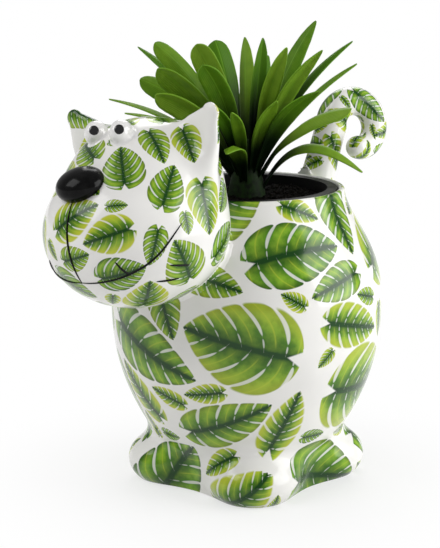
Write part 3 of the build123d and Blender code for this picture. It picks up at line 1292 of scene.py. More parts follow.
@dataclass
class LeafPrint:
    """The pattern of printed leaves, laid out at random beside each other."""

    skin: Skin
    seed: int = 11
    gap: float = 0.25
    overlap: float = 0.95
    margin: float = 2.2
    fold_limit: float = 0.6
    facing_limit: float = 0.2
    turns: int = 6
    size_spread: Pair = (0.9, 1.1)
    lobes: Triple = (5.0, 6.0, 7.0)
    tints: tuple[float, ...] = (0.0, 0.1, 0.3, 0.8, 1.0)
    tint_length: float = 36.0
    room_share: float = 0.85
    heading: Triple = (0.31, 0.2, 0.93)
    measured_at: tuple[float, ...] = (0.0, 0.13, 0.3, 0.47, 0.64, 0.8, 0.93)
    blank_place: float = 9.0
    blank_kind: Triple = (6.0, 0.3, 0.0)
    motifs: list[Motif] = field(default_factory=list)
    room: np.ndarray = field(init=False)

    def __post_init__(self) -> None:
        """Starts with room everywhere."""
        self.room = np.full(len(self.skin.points), np.inf)

    def lay_out(self, region: int, plan: PrintPlan) -> None:
        """Throws leaves onto a region, largest first, and keeps those that clear the others.

        Args:
            region: Number of the ceramic piece that leaves are centred on.
            plan: Sizes of its leaves.
        """
        random = np.random.default_rng(self.seed + region)
        ground = np.flatnonzero(self.skin.regions == region)
        for length, throws in plan.sizes:
            for _ in range(throws):
                size = length * random.uniform(*self.size_spread)
                width = random.choice(plan.widths)
                lobes = random.choice(self.lobes)
                tint = random.choice(self.tints) * min(1.0, self.tint_length / size)
                start = random.uniform(0, math.tau)
                free = ground[self.room[ground] > self.room_share * width * size]
                if not len(free):
                    continue
                spot = free[random.integers(len(free))]
                for step in range(self.turns):
                    turn = start + step * math.tau / self.turns
                    motif = self._motif(spot, turn, size, width, tint, lobes)
                    if self._keep(motif, self.fold_limit):
                        break

    def put(self, place: np.ndarray, turn: float, size: float, width: float, tint: float) -> None:
        """Places one leaf where the glaze bends too much for a thrown one.

        Args:
            place: A place near the glaze.
            turn: Direction of the leaf in radians.
            size: Its length.
            width: Half its width, as a share of the length.
            tint: How far its edge fades to lime, from 0 to 1.
        """
        spot = self.skin.nearest([place])[0]
        any_fold = -1.0
        self._keep(self._motif(spot, turn, size, width, tint), any_fold)

    def _motif(self, spot: int, turn: float, size: float, width: float, tint: float,
               lobes: float = 6.0) -> Motif:
        """A leaf centred on one of the skin's points.

        Args:
            spot: Number of the point.
            turn: Direction of the leaf in radians.
            size: Its length.
            width: Half its width, as a share of the length.
            tint: How far its edge fades to lime, from 0 to 1.
            lobes: Number of lobes in its length.

        Returns:
            The leaf.
        """
        normal = self.skin.normals[spot]
        first = unit(np.cross(normal, self.heading))
        along = first * math.cos(turn) + np.cross(normal, first) * math.sin(turn)
        return Motif(self.skin.points[spot], normal, along, size, width, lobes, tint)

    def _keep(self, motif: Motif, fold_limit: float) -> bool:
        """Keeps a leaf that lies fairly flat and clear of the others, and takes its room.

        Args:
            motif: The leaf.
            fold_limit: Least cosine between the normals of its middle and its other places.

        Returns:
            True if the leaf is kept.
        """
        shares = np.array(self.measured_at)
        places = motif.centre + motif.along * ((shares - motif.middle) * motif.length)[:, None]
        spots = self.skin.nearest(places)
        if (self.skin.normals[spots] @ motif.normal).min() < fold_limit:
            return False
        reach = motif.edge(shares) * motif.length * self.overlap
        if (self.room[spots] < reach + self.gap).any():
            return False
        self.motifs.append(motif)
        for spot, radius in zip(spots, reach):
            away = np.linalg.norm(self.skin.points - self.skin.points[spot], axis=1)
            np.minimum(self.room, away - radius, out=self.room)
        return True

    def dress(self, mesh: bpy.types.Mesh) -> None:
        """Gives each face the coordinates and kind of the leaf that it belongs to.

        Args:
            mesh: A ceramic mesh, in metres.
        """
        points = vectors_of(mesh.vertices, "co") / MM
        normals = vectors_of(mesh.polygons, "normal")
        middles = vectors_of(mesh.polygons, "center") / MM
        best = np.full(len(mesh.polygons), self.margin)
        owner = np.full(len(mesh.polygons), -1)
        for number, motif in enumerate(self.motifs):
            near = np.linalg.norm(middles - motif.centre, axis=1) < motif.length
            near &= normals @ motif.normal > self.facing_limit
            rows = np.flatnonzero(near)
            beyond = motif.beyond(motif.local(middles[rows]))
            closer = beyond < best[rows]
            best[rows[closer]] = beyond[closer]
            owner[rows[closer]] = number
        corners = np.empty(len(mesh.loops), int)
        mesh.loops.foreach_get("vertex_index", corners)
        totals = np.empty(len(mesh.polygons), int)
        mesh.polygons.foreach_get("loop_total", totals)
        corner_owner = np.repeat(owner, totals)
        uv = np.full((len(corners), 2), self.blank_place)
        kind = np.tile(self.blank_kind, (len(mesh.polygons), 1))
        for number, motif in enumerate(self.motifs):
            mine = corner_owner == number
            uv[mine] = motif.local(points[corners[mine]])
            kind[owner == number] = (motif.lobes, motif.width, motif.tint)
        layer = mesh.uv_layers.new(name=MOTIF_MAP)
        layer.uv.foreach_set("vector", uv.ravel())
        kinds = mesh.attributes.new(MOTIF_KIND, "FLOAT_VECTOR", "FACE")
        kinds.data.foreach_set("vector", kind.ravel())


@dataclass
class CeramicCat:
    """The fired cat: body with feet, head with ears, and tail."""

    form: CeramicForm
    columns: int = 288
    rows: int = 190
    halvings: int = 30
    sharp_angle: float = 48.0
    sole_shares: Triple = (0.4, 0.7, 0.93)
    lip: float = 1.4
    lip_steps: int = 12
    mouth_radius: float = 48.0
    seat_z: float = 153.0
    seat_rise: float = 1.2
    seat_edge: float = 1.0
    throat_radius: float = 44.0
    throat_z: float = 149.0
    wall: float = 4.5
    hollow_steps: int = 40
    floor: float = 5.0
    floor_shares: Triple = (0.95, 0.6, 0.3)
    head_net: float = 0.95
    head_box: tuple[Triple, Triple] = ((-62, -140, 98), (62, -38, 214))
    tail_net: float = 0.85
    tail_box: tuple[Triple, Triple] = ((-20, 42, 98), (48, 112, 208))
    joint_clear: float = 1.0
    rim_clear: float = 4.0
    skin_depth: float = 0.5
    ear_turns: tuple[tuple[int, float], ...] = ((1, 2.4), (-1, 0.9))
    ear_leaf: Triple = (19.0, 0.42, 0.8)
    plans: tuple[PrintPlan, ...] = (
        PrintPlan(
            ((54, 60), (46, 250), (40, 500), (34, 800), (29, 900),
             (24, 1000), (20, 1100), (16, 1200), (13, 1000)),
            (0.29, 0.35, 0.4, 0.44),
        ),
        PrintPlan(
            ((25, 250), (22, 400), (19, 500), (16, 600), (13.5, 600), (11, 500)),
            (0.34, 0.4, 0.45, 0.48),
        ),
        PrintPlan(
            ((24, 150), (20, 200), (16, 250), (13, 250), (10, 200)),
            (0.22, 0.28),
        ),
    )

    def body(self) -> bpy.types.Mesh:
        """Outer wall with the feet, rolled lip, seat, throat and hollow.

        Returns:
            The mesh.
        """
        ways = round_ways(self.columns)
        heights = np.linspace(0, self.form.rim_height - self.lip, self.rows)[:, None]
        near = np.zeros((self.rows, self.columns))
        far = np.full_like(near, 2 * self.form.belly_radius)
        for _ in range(self.halvings):
            middle = (near + far) / 2
            points = rings_at(middle, heights, ways).reshape(-1, 3)
            inside = (self.form.body(points) < 0).reshape(near.shape)
            near = np.where(inside, middle, near)
            far = np.where(inside, far, middle)
        wall = rings_at(near, heights, ways)
        sole = [rings_at(near[:1] * share, heights[:1], ways) for share in self.sole_shares]
        profile = self._inner_profile(float(near[-1].mean()))
        radii = np.repeat(profile[:, :1], self.columns, axis=1)
        inner = rings_at(radii, profile[:, 1:], ways)
        skin = ring_quads(np.concatenate([*sole, wall, inner]), (0, 0, 0), (0, 0, self.floor))
        return skin.mesh("body", self.sharp_angle)

    def _inner_profile(self, outer: float) -> np.ndarray:
        """Radius and height from the lip over the seat down to the floor of the hollow.

        Args:
            outer: Radius of the outer wall at the lip.

        Returns:
            One radius and height a row.
        """
        turn = np.linspace(0, math.pi, self.lip_steps)[1:]
        middle, half = (outer + self.mouth_radius) / 2, (outer - self.mouth_radius) / 2
        low = self.form.rim_height - self.lip
        lip = np.stack([middle + half * np.cos(turn), low + self.lip * np.sin(turn)], axis=1)
        seat = [
            (self.mouth_radius, self.seat_z + self.seat_rise),
            (self.mouth_radius, self.seat_z),
            (self.throat_radius + self.seat_edge, self.seat_z),
            (self.throat_radius, self.seat_z),
            (self.throat_radius, self.seat_z - self.seat_edge),
            (self.throat_radius, self.throat_z),
        ]
        depth = np.linspace(self.throat_z, self.floor, self.hollow_steps)
        hollow = np.stack([self.form.barrel_radius(depth) - self.wall, depth], axis=1)
        bottom = hollow[-1, 0]
        floor = [(bottom * share, self.floor) for share in self.floor_shares]
        return np.concatenate([lip, seat, hollow, floor])

    def head(self) -> bpy.types.Mesh:
        """Head and ears as one glazed form, with its fillet to the body."""
        head = self.form.joined(self.form.head, self.form.body, self.form.joint_blend)
        return SurfaceNet(self.head_net).extract(head, *self.head_box).mesh("head")

    def tail(self) -> bpy.types.Mesh:
        """Tail with its fillet to the body."""
        tail = self.form.joined(self.form.tail, self.form.body, self.form.joint_blend)
        return SurfaceNet(self.tail_net).extract(tail, *self.tail_box).mesh("tail")

    def build(self) -> None:
        """Makes, prints and glazes the three pieces."""
        meshes = {"body_shell": self.body(), "head_shell": self.head(), "tail": self.tail()}
        LOG.info("ceramic meshes made")
        pattern = LeafPrint(self._skin(list(meshes.values())))
        for side, turn in self.ear_turns:
            pattern.put(self.form.ear_front(side), turn, *self.ear_leaf)
        for region, plan in enumerate(self.plans):
            pattern.lay_out(region, plan)
        LOG.info("%d printed leaves", len(pattern.motifs))
        glaze = PrintedGlaze().material()
        for node, mesh in meshes.items():
            pattern.dress(mesh)
            hand_over(shown(f"glazed_{node}", mesh, glaze), Body.PLANTER, Slot.GLAZE, node)

    def _skin(self, meshes: Sequence[bpy.types.Mesh]) -> Skin:
        """Points of the pieces that show on the outside of the cat.

        Args:
            meshes: Body, head and tail.

        Returns:
            The points with their normals and piece numbers.
        """
        points, normals, regions = [], [], []
        for number, mesh in enumerate(meshes):
            place = vectors_of(mesh.vertices, "co") / MM
            facing = vectors_of(mesh.vertices, "normal")
            showing = place[:, 2] > self.joint_clear
            if number == 0:
                showing &= self.form.body(place) > -self.skin_depth
                showing &= place[:, 2] < self.form.rim_height - self.rim_clear
                showing &= self.form.head(place) > self.joint_clear
                showing &= self.form.tail(place) > self.joint_clear
            else:
                showing &= self.form.body(place) > self.joint_clear
            points.append(place[showing])
            normals.append(facing[showing])
            regions.append(np.full(showing.sum(), number))
        return Skin(np.concatenate(points), np.concatenate(normals), np.concatenate(regions))


@dataclass
class CatFace:
    """Nose, eyes and painted strokes of the face."""

    form: CeramicForm
    nose: Triple = (0.0, -121.0, 172.5)
    nose_radii: Triple = (12.5, 12.0, 8.0)
    nose_tilt: float = 18.0
    eye: Triple = (8.3, -99.0, 194.5)
    eye_radii: Triple = (5.0, 6.6, 6.2)
    eye_blend: float = 2.2
    pupil_way: Triple = (0.55, -0.8, 0.35)
    eye_reach: Triple = (12.0, 13.0, 13.0)
    eye_net: float = 0.45
    ball_columns: int = 72
    ball_rows: int = 38
    stroke_radius: float = 0.55
    stroke_lift: float = 0.05
    stroke_steps: int = 40
    stroke_rounds: int = 12
    stroke_end: float = 0.35
    stroke_swell: float = 0.6
    stroke_sides: int = 10
    settle_rounds: int = 4

    def ball(self, centre: Sequence[float], radii: Sequence[float], tilt: float = 0.0) -> Quads:
        """Ellipsoid in the rolled head's frame.

        Args:
            centre: Its middle in the upright head.
            radii: Its radii.
            tilt: Turn about X in degrees.

        Returns:
            The closed skin.
        """
        angles = np.linspace(0, math.tau, self.ball_columns, endpoint=False)
        falls = np.linspace(-math.pi / 2, math.pi / 2, self.ball_rows)[1:-1]
        rings = np.stack([
            np.cos(falls)[:, None] * np.cos(angles)[None],
            np.cos(falls)[:, None] * np.sin(angles)[None],
            np.repeat(np.sin(falls)[:, None], len(angles), axis=1),
        ], axis=2)
        skin = ring_quads(rings, (0, 0, -1), (0, 0, 1))
        points = skin.points * np.asarray(radii)
        turn = math.radians(tilt)
        y = points[:, 1] * math.cos(turn) - points[:, 2] * math.sin(turn)
        z = points[:, 1] * math.sin(turn) + points[:, 2] * math.cos(turn)
        points = np.stack([points[:, 0], y, z], axis=1) + np.asarray(centre)
        return Quads(self.form.upright(points, back=True), skin.faces)

    def build(self) -> None:
        """Makes the pieces of the face."""
        black = BlackGlaze().material()
        egg = self.ball(self.nose, self.nose_radii, self.nose_tilt).mesh("nose")
        hand_over(shown("nose_egg", egg, black), Body.PLANTER, Slot.NOSE, "nose")
        for node, side in (("eye_left", 1), ("eye_right", -1)):
            centre = np.asarray(self.eye) * (side, 1, 1)
            way = unit(self.pupil_way)
            pupil = centre + way / np.linalg.norm(way / np.asarray(self.eye_radii))
            pupil = self.form.upright(pupil[None], back=True)[0]
            glaze = EyeGlaze(f"{node}_glaze", tuple(pupil)).material()
            eye = shown(f"{node}_bump", self.eye_bump(centre).mesh(node), glaze)
            hand_over(eye, Body.PLANTER, Slot.EYE, node)
        self.paint(BlackGlaze("painted_stroke", roughness=0.2).material())

    def eye_bump(self, centre: np.ndarray) -> Quads:
        """One eye with its fillet to the brow.

        Args:
            centre: Middle of the eye in the upright head.

        Returns:
            The closed skin.
        """

        def ball(points: np.ndarray) -> np.ndarray:
            """Distance from the eye alone."""
            return ellipsoid_distance(self.form.upright(points), centre, self.eye_radii)

        middle = self.form.upright(centre[None], back=True)[0]
        reach = np.asarray(self.eye_reach)
        bump = self.form.joined(ball, self.form.head, self.eye_blend)
        return SurfaceNet(self.eye_net).extract(bump, middle - reach, middle + reach)

    def strokes(self) -> list[np.ndarray]:
        """Guide points of the painted strokes on the upright head.

        Returns:
            Points of each stroke in millimetres.
        """
        seam = [(0, -127.5, 165), (0, -131, 158.5), (0, -132.8, 152.5), (0.3, -133.4, 145),
                (0.3, -131.7, 135), (0, -127.2, 126.4)]
        smile = [(0, -127.2, 126.2), (10.9, -125.7, 126.3), (23.2, -121.4, 128.7), (33.7, -114.9, 134),
                 (39.2, -109.7, 140.3), (42.4, -103.9, 147.9), (43.6, -99.8, 151.6)]
        dimple = [(22.2, -126, 136.5), (23.4, -123.7, 132.9), (25.4, -120.1, 129)]
        whisker = [(38.5, -105.3, 131.6), (39.8, -101.2, 130.8), (41.3, -94.4, 129.9)]
        lower = [(31.4, -108.4, 123.9), (34.6, -102, 123.6), (36.2, -97.5, 123.8)]
        guides = [np.array(seam, float)]
        for side in (1, -1):
            for guide in (smile, dimple, whisker, lower):
                guides.append(np.array(guide, float) * (side, 1, 1))
        return guides

    def paint(self, black: bpy.types.Material) -> None:
        """Sweeps the strokes along the glaze.

        Args:
            black: Finish of the strokes.
        """
        paths, radii = [], []
        share = np.linspace(0, 1, self.stroke_steps)
        swell = np.sin(share * math.pi) ** self.stroke_swell
        for guide in self.strokes():
            reach = np.concatenate([[0], np.cumsum(np.linalg.norm(np.diff(guide, axis=0), axis=1))])
            columns = [np.interp(share * reach[-1], reach, guide[:, axis]) for axis in range(3)]
            points = np.stack(columns, axis=1)
            for _ in range(self.stroke_rounds):
                points[1:-1] = (points[:-2] + 2 * points[1:-1] + points[2:]) / 4
            points = settle(self.form.plain_head, points, self.settle_rounds, self.stroke_lift)
            paths.append(self.form.upright(points, back=True))
            radii.append(self.stroke_radius * (self.stroke_end + (1 - self.stroke_end) * swell))
        strokes = strands("painted_strokes", paths, radii, self.stroke_sides, black)
        hand_over(strokes, Body.PLANTER, Slot.NOSE)


def strands(name: str, paths: Sequence[np.ndarray], radii: Sequence[np.ndarray], sides: int,
            material: bpy.types.Material) -> bpy.types.Object:
    """Sweeps round strands along paths.

    Args:
        name: Name of the piece.
        paths: Points of each strand in millimetres.
        radii: Radius at each point in millimetres.
        sides: Number of points round a strand.
        material: Finish of the strands.

    Returns:
        The piece.
    """
    recipe = NodeRecipe(name, (("Sides", "NodeSocketInt"), ("Finish", "NodeSocketMaterial")))
    radius = recipe.add("GeometryNodeInputRadius")
    sides_entry = recipe.entry("Sides")
    ring = recipe.add("GeometryNodeCurvePrimitiveCircle", {"Resolution": sides_entry, "Radius": 1.0})
    tube = recipe.add("GeometryNodeCurveToMesh", {
        "Curve": recipe.entry("Geometry"), "Profile Curve": ring.outputs[0],
        "Scale": radius.outputs[0], "Fill Caps": True,
    })
    smooth = recipe.add("GeometryNodeSetShadeSmooth", {0: tube.outputs[0]})
    recipe.close(smooth.outputs[0], "Finish")
    worker = path_object(f"{name}_paths", paths, radii)
    recipe.apply(worker, Sides=sides, Finish=material)
    return plain(worker, name)


class Blade(NamedTuple):
    """One strap leaf: azimuth and twist in degrees, the rest as shares of a full leaf."""

    azimuth: float
    reach: float
    height: float
    width: float
    arch: float
    twist: float


BLADES = (
    Blade(35, 0.67, 0.08, 0.85, 0.42, 15), Blade(-62, 0.57, 0.26, 0.8, 0.2, 0),
    Blade(-162, 0.88, 0.46, 0.6, 0.16, 0), Blade(-144, 0.71, 0.41, 0.6, 0.16, 0),
    Blade(118, 0.66, 0.34, 0.9, 0.2, 10), Blade(150, 0.74, 0.24, 1.05, 0.3, -35),
    Blade(172, 0.7, 0.3, 1.05, 0.24, -40), Blade(15, 0.64, 0.47, 1.05, 0.14, 35),
    Blade(-107, 0.61, 0.56, 1.1, 0.1, 50), Blade(-60, 0.52, 0.48, 0.55, 0.1, 0),
    Blade(-150, 0.63, 0.6, 1, 0.1, -60), Blade(-174, 0.78, 0.76, 0.55, 0.1, -15),
    Blade(-9, 0.59, 0.59, 0.8, 0.1, -30), Blade(40, 0.63, 0.7, 0.55, 0.08, 10),
    Blade(-76, 0.5, 0.52, 0.55, 0.08, 25), Blade(-28, 0.42, 0.53, 0.8, 0.08, 0),
    Blade(60, 0.66, 0.81, 0.5, 0.1, 20), Blade(92, 0.49, 0.69, 0.8, 0.08, 30),
    Blade(6, 0.5, 0.8, 0.75, 0.08, -35), Blade(-110, 0.58, 0.7, 1.15, 0.06, 50),
    Blade(-137, 0.53, 0.82, 0.95, 0.08, -60), Blade(-82, 0.47, 0.73, 1.05, 0.08, 30),
    Blade(48, 0.4, 0.94, 0.85, 0.05, 45), Blade(-5, 0.31, 0.81, 0.75, 0.05, -35),
    Blade(-119, 0.31, 0.82, 1.1, 0.05, 55), Blade(178, 0.25, 0.82, 1.1, 0.05, -40),
    Blade(132, 0.28, 0.83, 0.75, 0.05, -30), Blade(-23, 0.19, 0.86, 0.75, 0.03, 0),
    Blade(107, 0.33, 0.72, 0.8, 0.05, 20), Blade(155, 0.5, 0.62, 1.05, 0.1, -40),
)


@dataclass
class StrapPlant:
    """The strap-leaved plant: blades, crown, soil and roots."""

    seed: int = 5
    whorl: tuple[Blade, ...] = BLADES
    crown_height: float = 24.0
    crown_radii: Pair = (10.0, 6.0)
    leaf_length: float = 90.0
    leaf_width: float = 12.0
    leaf_thickness: float = 0.7
    root_inset: float = 1.5
    rise_shares: Pair = (0.1, 0.85)
    knee_shares: Pair = (0.3, 0.5)
    tip_share: float = 0.25
    twist_share: float = 0.5
    sway: float = 0.15
    fold: float = 0.4
    fold_steps: int = 9
    tint_seed: int = 3
    blade_steps: int = 34
    step_power: float = 1.6
    blunt_from: float = 0.95
    width_places: tuple[float, ...] = (0, 0.08, 0.18, 0.3, 0.44, 0.58, 0.72, 0.85, 0.92, 0.96, 0.985, 1)
    blunt: tuple[float, ...] = (0.4, 0.46, 0.56, 0.7, 0.87, 0.98, 1, 0.96, 0.85, 0.66, 0.44, 0.1)
    pointed: tuple[float, ...] = (0.4, 0.48, 0.62, 0.8, 0.96, 1, 0.9, 0.66, 0.44, 0.28, 0.17, 0.05)
    soil_z: float = 151.5
    ball_base: Pair = (31.4, 77.75)
    ball_top: Pair = (40.9, 149.25)
    ball_columns: int = 120
    side_rings: int = 40
    side_rough: float = 0.8
    soil_edge: Pair = (39.8, 150.6)
    top_radius: float = 39.0
    top_step: float = 1.5
    top_rings: int = 26
    top_z: float = 151.3
    top_rough: Pair = (-0.6, 0.9)
    crumb_band: float = 1.2
    crumb_density: float = 220000.0
    crumb_radius: float = 1.1
    crumb_sizes: Pair = (0.4, 1.3)
    crumb_turns: Triple = (6, 6, 6)
    crumb_seeds: tuple[int, int, int] = (4, 8, 9)
    root_count: int = 54
    root_steps: int = 26
    root_sides: int = 6
    root_radius: float = 0.3
    root_depth: float = 0.35
    root_drop: Pair = (14, 46)
    root_margin: float = 2.0
    root_clear: float = 1.0
    root_ripple: float = 1.5
    root_ripples: Pair = (4, 9)
    root_drift: Pair = (-0.5, 0.5)
    root_wave: Pair = (0.02, 0.08)
    root_waves: Pair = (5, 14)
    root_sizes: Pair = (0.5, 1)
    root_taper: float = 0.6

    def steps(self) -> np.ndarray:
        """Shares of the length at which a blade is measured, closer together near its end."""
        return 1 - (1 - np.linspace(0, 1, self.blade_steps)) ** self.step_power

    def blade_path(self, blade: Blade) -> np.ndarray:
        """Middle line of one blade, from the crown to its tip.

        Args:
            blade: The blade's sizes.

        Returns:
            Points in millimetres.
        """
        reach, height = blade.reach * self.leaf_length, blade.height * self.leaf_length
        steep = math.atan2(height, reach) / (math.pi / 2)
        least_rise, more_rise = self.rise_shares
        rise = self.crown_height * (least_rise + more_rise * steep)
        low, high = self.crown_radii
        root = np.array([low + (high - low) * rise / self.crown_height - self.root_inset, rise])
        out, up = self.knee_shares
        knee = np.array([root[0] + out * reach, rise + up * height + blade.arch * self.leaf_length])
        tip = np.array([reach, height + self.crown_height * self.tip_share])
        share = self.steps()[:, None]
        flat = (1 - share) ** 2 * root + 2 * share * (1 - share) * knee + share**2 * tip
        turn = math.radians(blade.azimuth)
        return np.stack([
            flat[:, 0] * math.cos(turn), flat[:, 0] * math.sin(turn), flat[:, 1] + self.soil_z,
        ], axis=1)

    def _blade_recipe(self) -> NodeRecipe:
        """Tree that sweeps a folded strip along each path and marks where its points lie.

        Returns:
            The tree.
        """
        recipe = NodeRecipe("strap_blades", (
            ("Fold", "NodeSocketFloat"), ("Steps", "NodeSocketInt"), ("Skin", "NodeSocketMaterial"),
        ))
        factor = recipe.add("GeometryNodeSplineParameter").outputs["Factor"]
        number = recipe.add("GeometryNodeInputIndex").outputs[0]
        curves = recipe.entry("Geometry")
        spline = recipe.add("GeometryNodeCaptureAttribute", {0: curves}, domain="CURVE")
        spline.capture_items.new("FLOAT", "seed")
        tint = recipe.add(
            "FunctionNodeRandomValue", {"ID": number, "Seed": self.tint_seed}, data_type="FLOAT"
        )
        recipe.tree.links.new(tint.outputs[1], spline.inputs[1])
        path = recipe.add("GeometryNodeCaptureAttribute", {0: spline.outputs[0]}, domain="POINT")
        path.capture_items.new("FLOAT", "along")
        recipe.tree.links.new(factor, path.inputs[1])
        level = recipe.add("GeometryNodeSetCurveNormal", {0: path.outputs[0]}, mode="Z_UP")
        line = recipe.add("GeometryNodeCurvePrimitiveLine", {"Start": (-1, 0, 0), "End": (1, 0, 0)})
        steps = recipe.add("GeometryNodeResampleCurve", {
            0: line.outputs[0], "Count": recipe.entry("Steps"),
        })
        position = recipe.add("GeometryNodeInputPosition").outputs[0]
        place = recipe.add("ShaderNodeSeparateXYZ", {0: position})
        wide = recipe.add("GeometryNodeCaptureAttribute", {0: steps.outputs[0]}, domain="POINT")
        wide.capture_items.new("FLOAT", "across")
        recipe.tree.links.new(place.outputs[0], wide.inputs[1])
        raised = recipe.math("MULTIPLY", recipe.math("ABSOLUTE", wide.outputs[1]), recipe.entry("Fold"))
        bent = recipe.add("ShaderNodeCombineXYZ", {0: wide.outputs[1], 1: raised})
        gutter = recipe.add("GeometryNodeSetPosition", {0: wide.outputs[0], "Position": bent.outputs[0]})
        radius = recipe.add("GeometryNodeInputRadius")
        sweep = recipe.add("GeometryNodeCurveToMesh", {
            "Curve": level.outputs[0], "Profile Curve": gutter.outputs[0], "Scale": radius.outputs[0],
        })
        marks = recipe.add(
            "ShaderNodeCombineXYZ", {0: path.outputs[1], 1: wide.outputs[1], 2: spline.outputs[1]}
        )
        stored = recipe.add(
            "GeometryNodeStoreNamedAttribute",
            {0: sweep.outputs[0], "Name": BLADE, "Value": marks.outputs[0]},
            data_type="FLOAT_VECTOR", domain="POINT",
        )
        smooth = recipe.add("GeometryNodeSetShadeSmooth", {0: stored.outputs[0]})
        recipe.close(smooth.outputs[0], "Skin")
        return recipe

    def blades(self, skin: bpy.types.Material) -> None:
        """Sweeps a folded section along every blade's middle line.

        Args:
            skin: Finish of the blades.
        """
        random = np.random.default_rng(self.seed)
        share = self.steps()
        paths, radii, tilts = [], [], []
        for blade in self.whorl:
            paths.append(self.blade_path(blade))
            profile = self.blunt if blade.width >= self.blunt_from else self.pointed
            half = self.leaf_width * blade.width / 2
            radii.append(np.interp(share, self.width_places, profile) * half)
            turn = math.radians(blade.twist) * np.minimum(share / self.twist_share, 1)
            tilts.append(turn + share * random.uniform(-self.sway, self.sway))
        worker = path_object("blade_paths", paths, radii, tilts)
        self._blade_recipe().apply(worker, Fold=self.fold, Steps=self.fold_steps, Skin=skin)
        sheet = plain(worker, "blade_sheets")
        solid = sheet.modifiers.new("thickness", "SOLIDIFY")
        solid.thickness = self.leaf_thickness * MM
        solid.offset = 0.0
        nodes = [f"leaf_{number:02d}" for number in range(1, len(self.whorl) + 1)]
        hand_over(plain(sheet, "strap_leaves"), Body.PLANT, Slot.LEAF, *nodes)

    def _crumb_recipe(self) -> NodeRecipe:
        """Tree that strews crumbs over the top of the soil.

        Returns:
            The tree.
        """
        recipe = NodeRecipe("soil_crumbs", (
            ("Density", "NodeSocketFloat"), ("Crumb", "NodeSocketFloat"), ("Soil", "NodeSocketMaterial"),
        ))
        spot_seed, size_seed, turn_seed = self.crumb_seeds
        least, most = self.crumb_sizes
        position = recipe.add("GeometryNodeInputPosition").outputs[0]
        height = recipe.add("ShaderNodeSeparateXYZ", {0: position}).outputs[2]
        is_top = recipe.math("GREATER_THAN", height, (self.soil_z - self.crumb_band) * MM)
        spots = recipe.add("GeometryNodeDistributePointsOnFaces", {
            "Mesh": recipe.entry("Geometry"), "Selection": is_top,
            "Density": recipe.entry("Density"), "Seed": spot_seed,
        })
        crumb = recipe.add("GeometryNodeMeshIcoSphere", {
            "Radius": recipe.entry("Crumb"), "Subdivisions": 1,
        })
        size = recipe.add(
            "FunctionNodeRandomValue", {2: least, 3: most, "Seed": size_seed}, data_type="FLOAT"
        )
        turn = recipe.add(
            "FunctionNodeRandomValue", {0: (0, 0, 0), 1: self.crumb_turns, "Seed": turn_seed},
            data_type="FLOAT_VECTOR",
        )
        crumbs = recipe.add("GeometryNodeInstanceOnPoints", {
            "Points": spots.outputs[0], "Instance": crumb.outputs[0],
            "Rotation": turn.outputs[0], "Scale": size.outputs[1],
        })
        both = recipe.add("GeometryNodeJoinGeometry")
        recipe.tree.links.new(recipe.entry("Geometry"), both.inputs[0])
        recipe.tree.links.new(crumbs.outputs[0], both.inputs[0])
        recipe.close(both.outputs[0], "Soil")
        return recipe

    def soil(self, damp: bpy.types.Material) -> None:
        """Root ball with a crumbly top.

        Args:
            damp: Finish of the soil.
        """
        side = np.linspace(self.ball_base, self.ball_top, self.side_rings)
        top = [(self.top_radius - self.top_step * ring, self.top_z) for ring in range(self.top_rings)]
        profile = np.concatenate([side, [self.soil_edge], top])
        random = np.random.default_rng(self.seed)
        radii = np.repeat(profile[:, :1], self.ball_columns, axis=1)
        heights = np.repeat(profile[:, 1:], self.ball_columns, axis=1)
        flank, rise = radii[1:self.side_rings], heights[self.side_rings:]
        flank -= random.uniform(0, self.side_rough, flank.shape)
        rise += random.uniform(*self.top_rough, rise.shape)
        rings = rings_at(radii, heights, round_ways(self.ball_columns))
        ball = ring_quads(rings, (0, 0, self.ball_base[1]), (0, 0, self.soil_z))
        worker = shown("soil_body", ball.mesh("soil"), damp)
        sizes = {"Density": self.crumb_density, "Crumb": self.crumb_radius * MM}
        self._crumb_recipe().apply(worker, **sizes, Soil=damp)
        hand_over(plain(worker, "soil_and_roots"), Body.PLANT, Slot.SOIL, "root_ball")

    def roots(self, skin: bpy.types.Material) -> None:
        """Lets fine roots wander down the side of the root ball, half sunk in it.

        Args:
            skin: Finish of the roots.
        """
        random = np.random.default_rng(self.seed)
        (low_radius, low), (high_radius, high) = self.ball_base, self.ball_top
        share = np.linspace(0, 1, self.root_steps)
        paths, radii = [], []
        for _ in range(self.root_count):
            drop = random.uniform(*self.root_drop)
            foot = random.uniform(low + self.root_margin, high - self.root_margin - drop)
            ripple = self.root_ripple * np.sin(share * random.uniform(*self.root_ripples))
            height = foot + drop * (1 - share) + ripple
            height = np.clip(height, low + self.root_clear, high - self.root_clear)
            drift = random.uniform(*self.root_drift) * share
            wave = random.uniform(*self.root_wave) * np.sin(share * random.uniform(*self.root_waves))
            angle = random.uniform(0, math.tau) + (drift + wave)
            up = (height - low) / (high - low)
            reach = low_radius + (high_radius - low_radius) * up - self.root_depth
            paths.append(np.stack([reach * np.cos(angle), reach * np.sin(angle), height], axis=1))
            size = self.root_radius * random.uniform(*self.root_sizes)
            radii.append(size * (1 - self.root_taper * share))
        roots = strands("fine_roots", paths, radii, self.root_sides, skin)
        hand_over(roots, Body.PLANT, Slot.SOIL)

    def build(self, nodes: dict[str, bpy.types.Object]) -> None:
        """Makes the plant's pieces and dresses the CAD crown.

        Args:
            nodes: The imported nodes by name.
        """
        self.blades(LeafSkin().material())
        self.soil(PottingSoil().material())
        self.roots(RootSkin().material())
        dress_node(nodes["crown"], StemSkin().material())


def dress_node(node: bpy.types.Object, material: bpy.types.Material) -> None:
    """Gives a CAD node a finish.

    Args:
        node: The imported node.
        material: Its finish.
    """
    node.data.materials.clear()
    node.data.materials.append(material)
    LOG.info("%s keeps its CAD form", node.name)


@dataclass(frozen=True)
class SoftBox:
    """A square soft box: its place and side in metres, and its power in watts."""

    name: str
    place: Triple
    side: float
    power: float


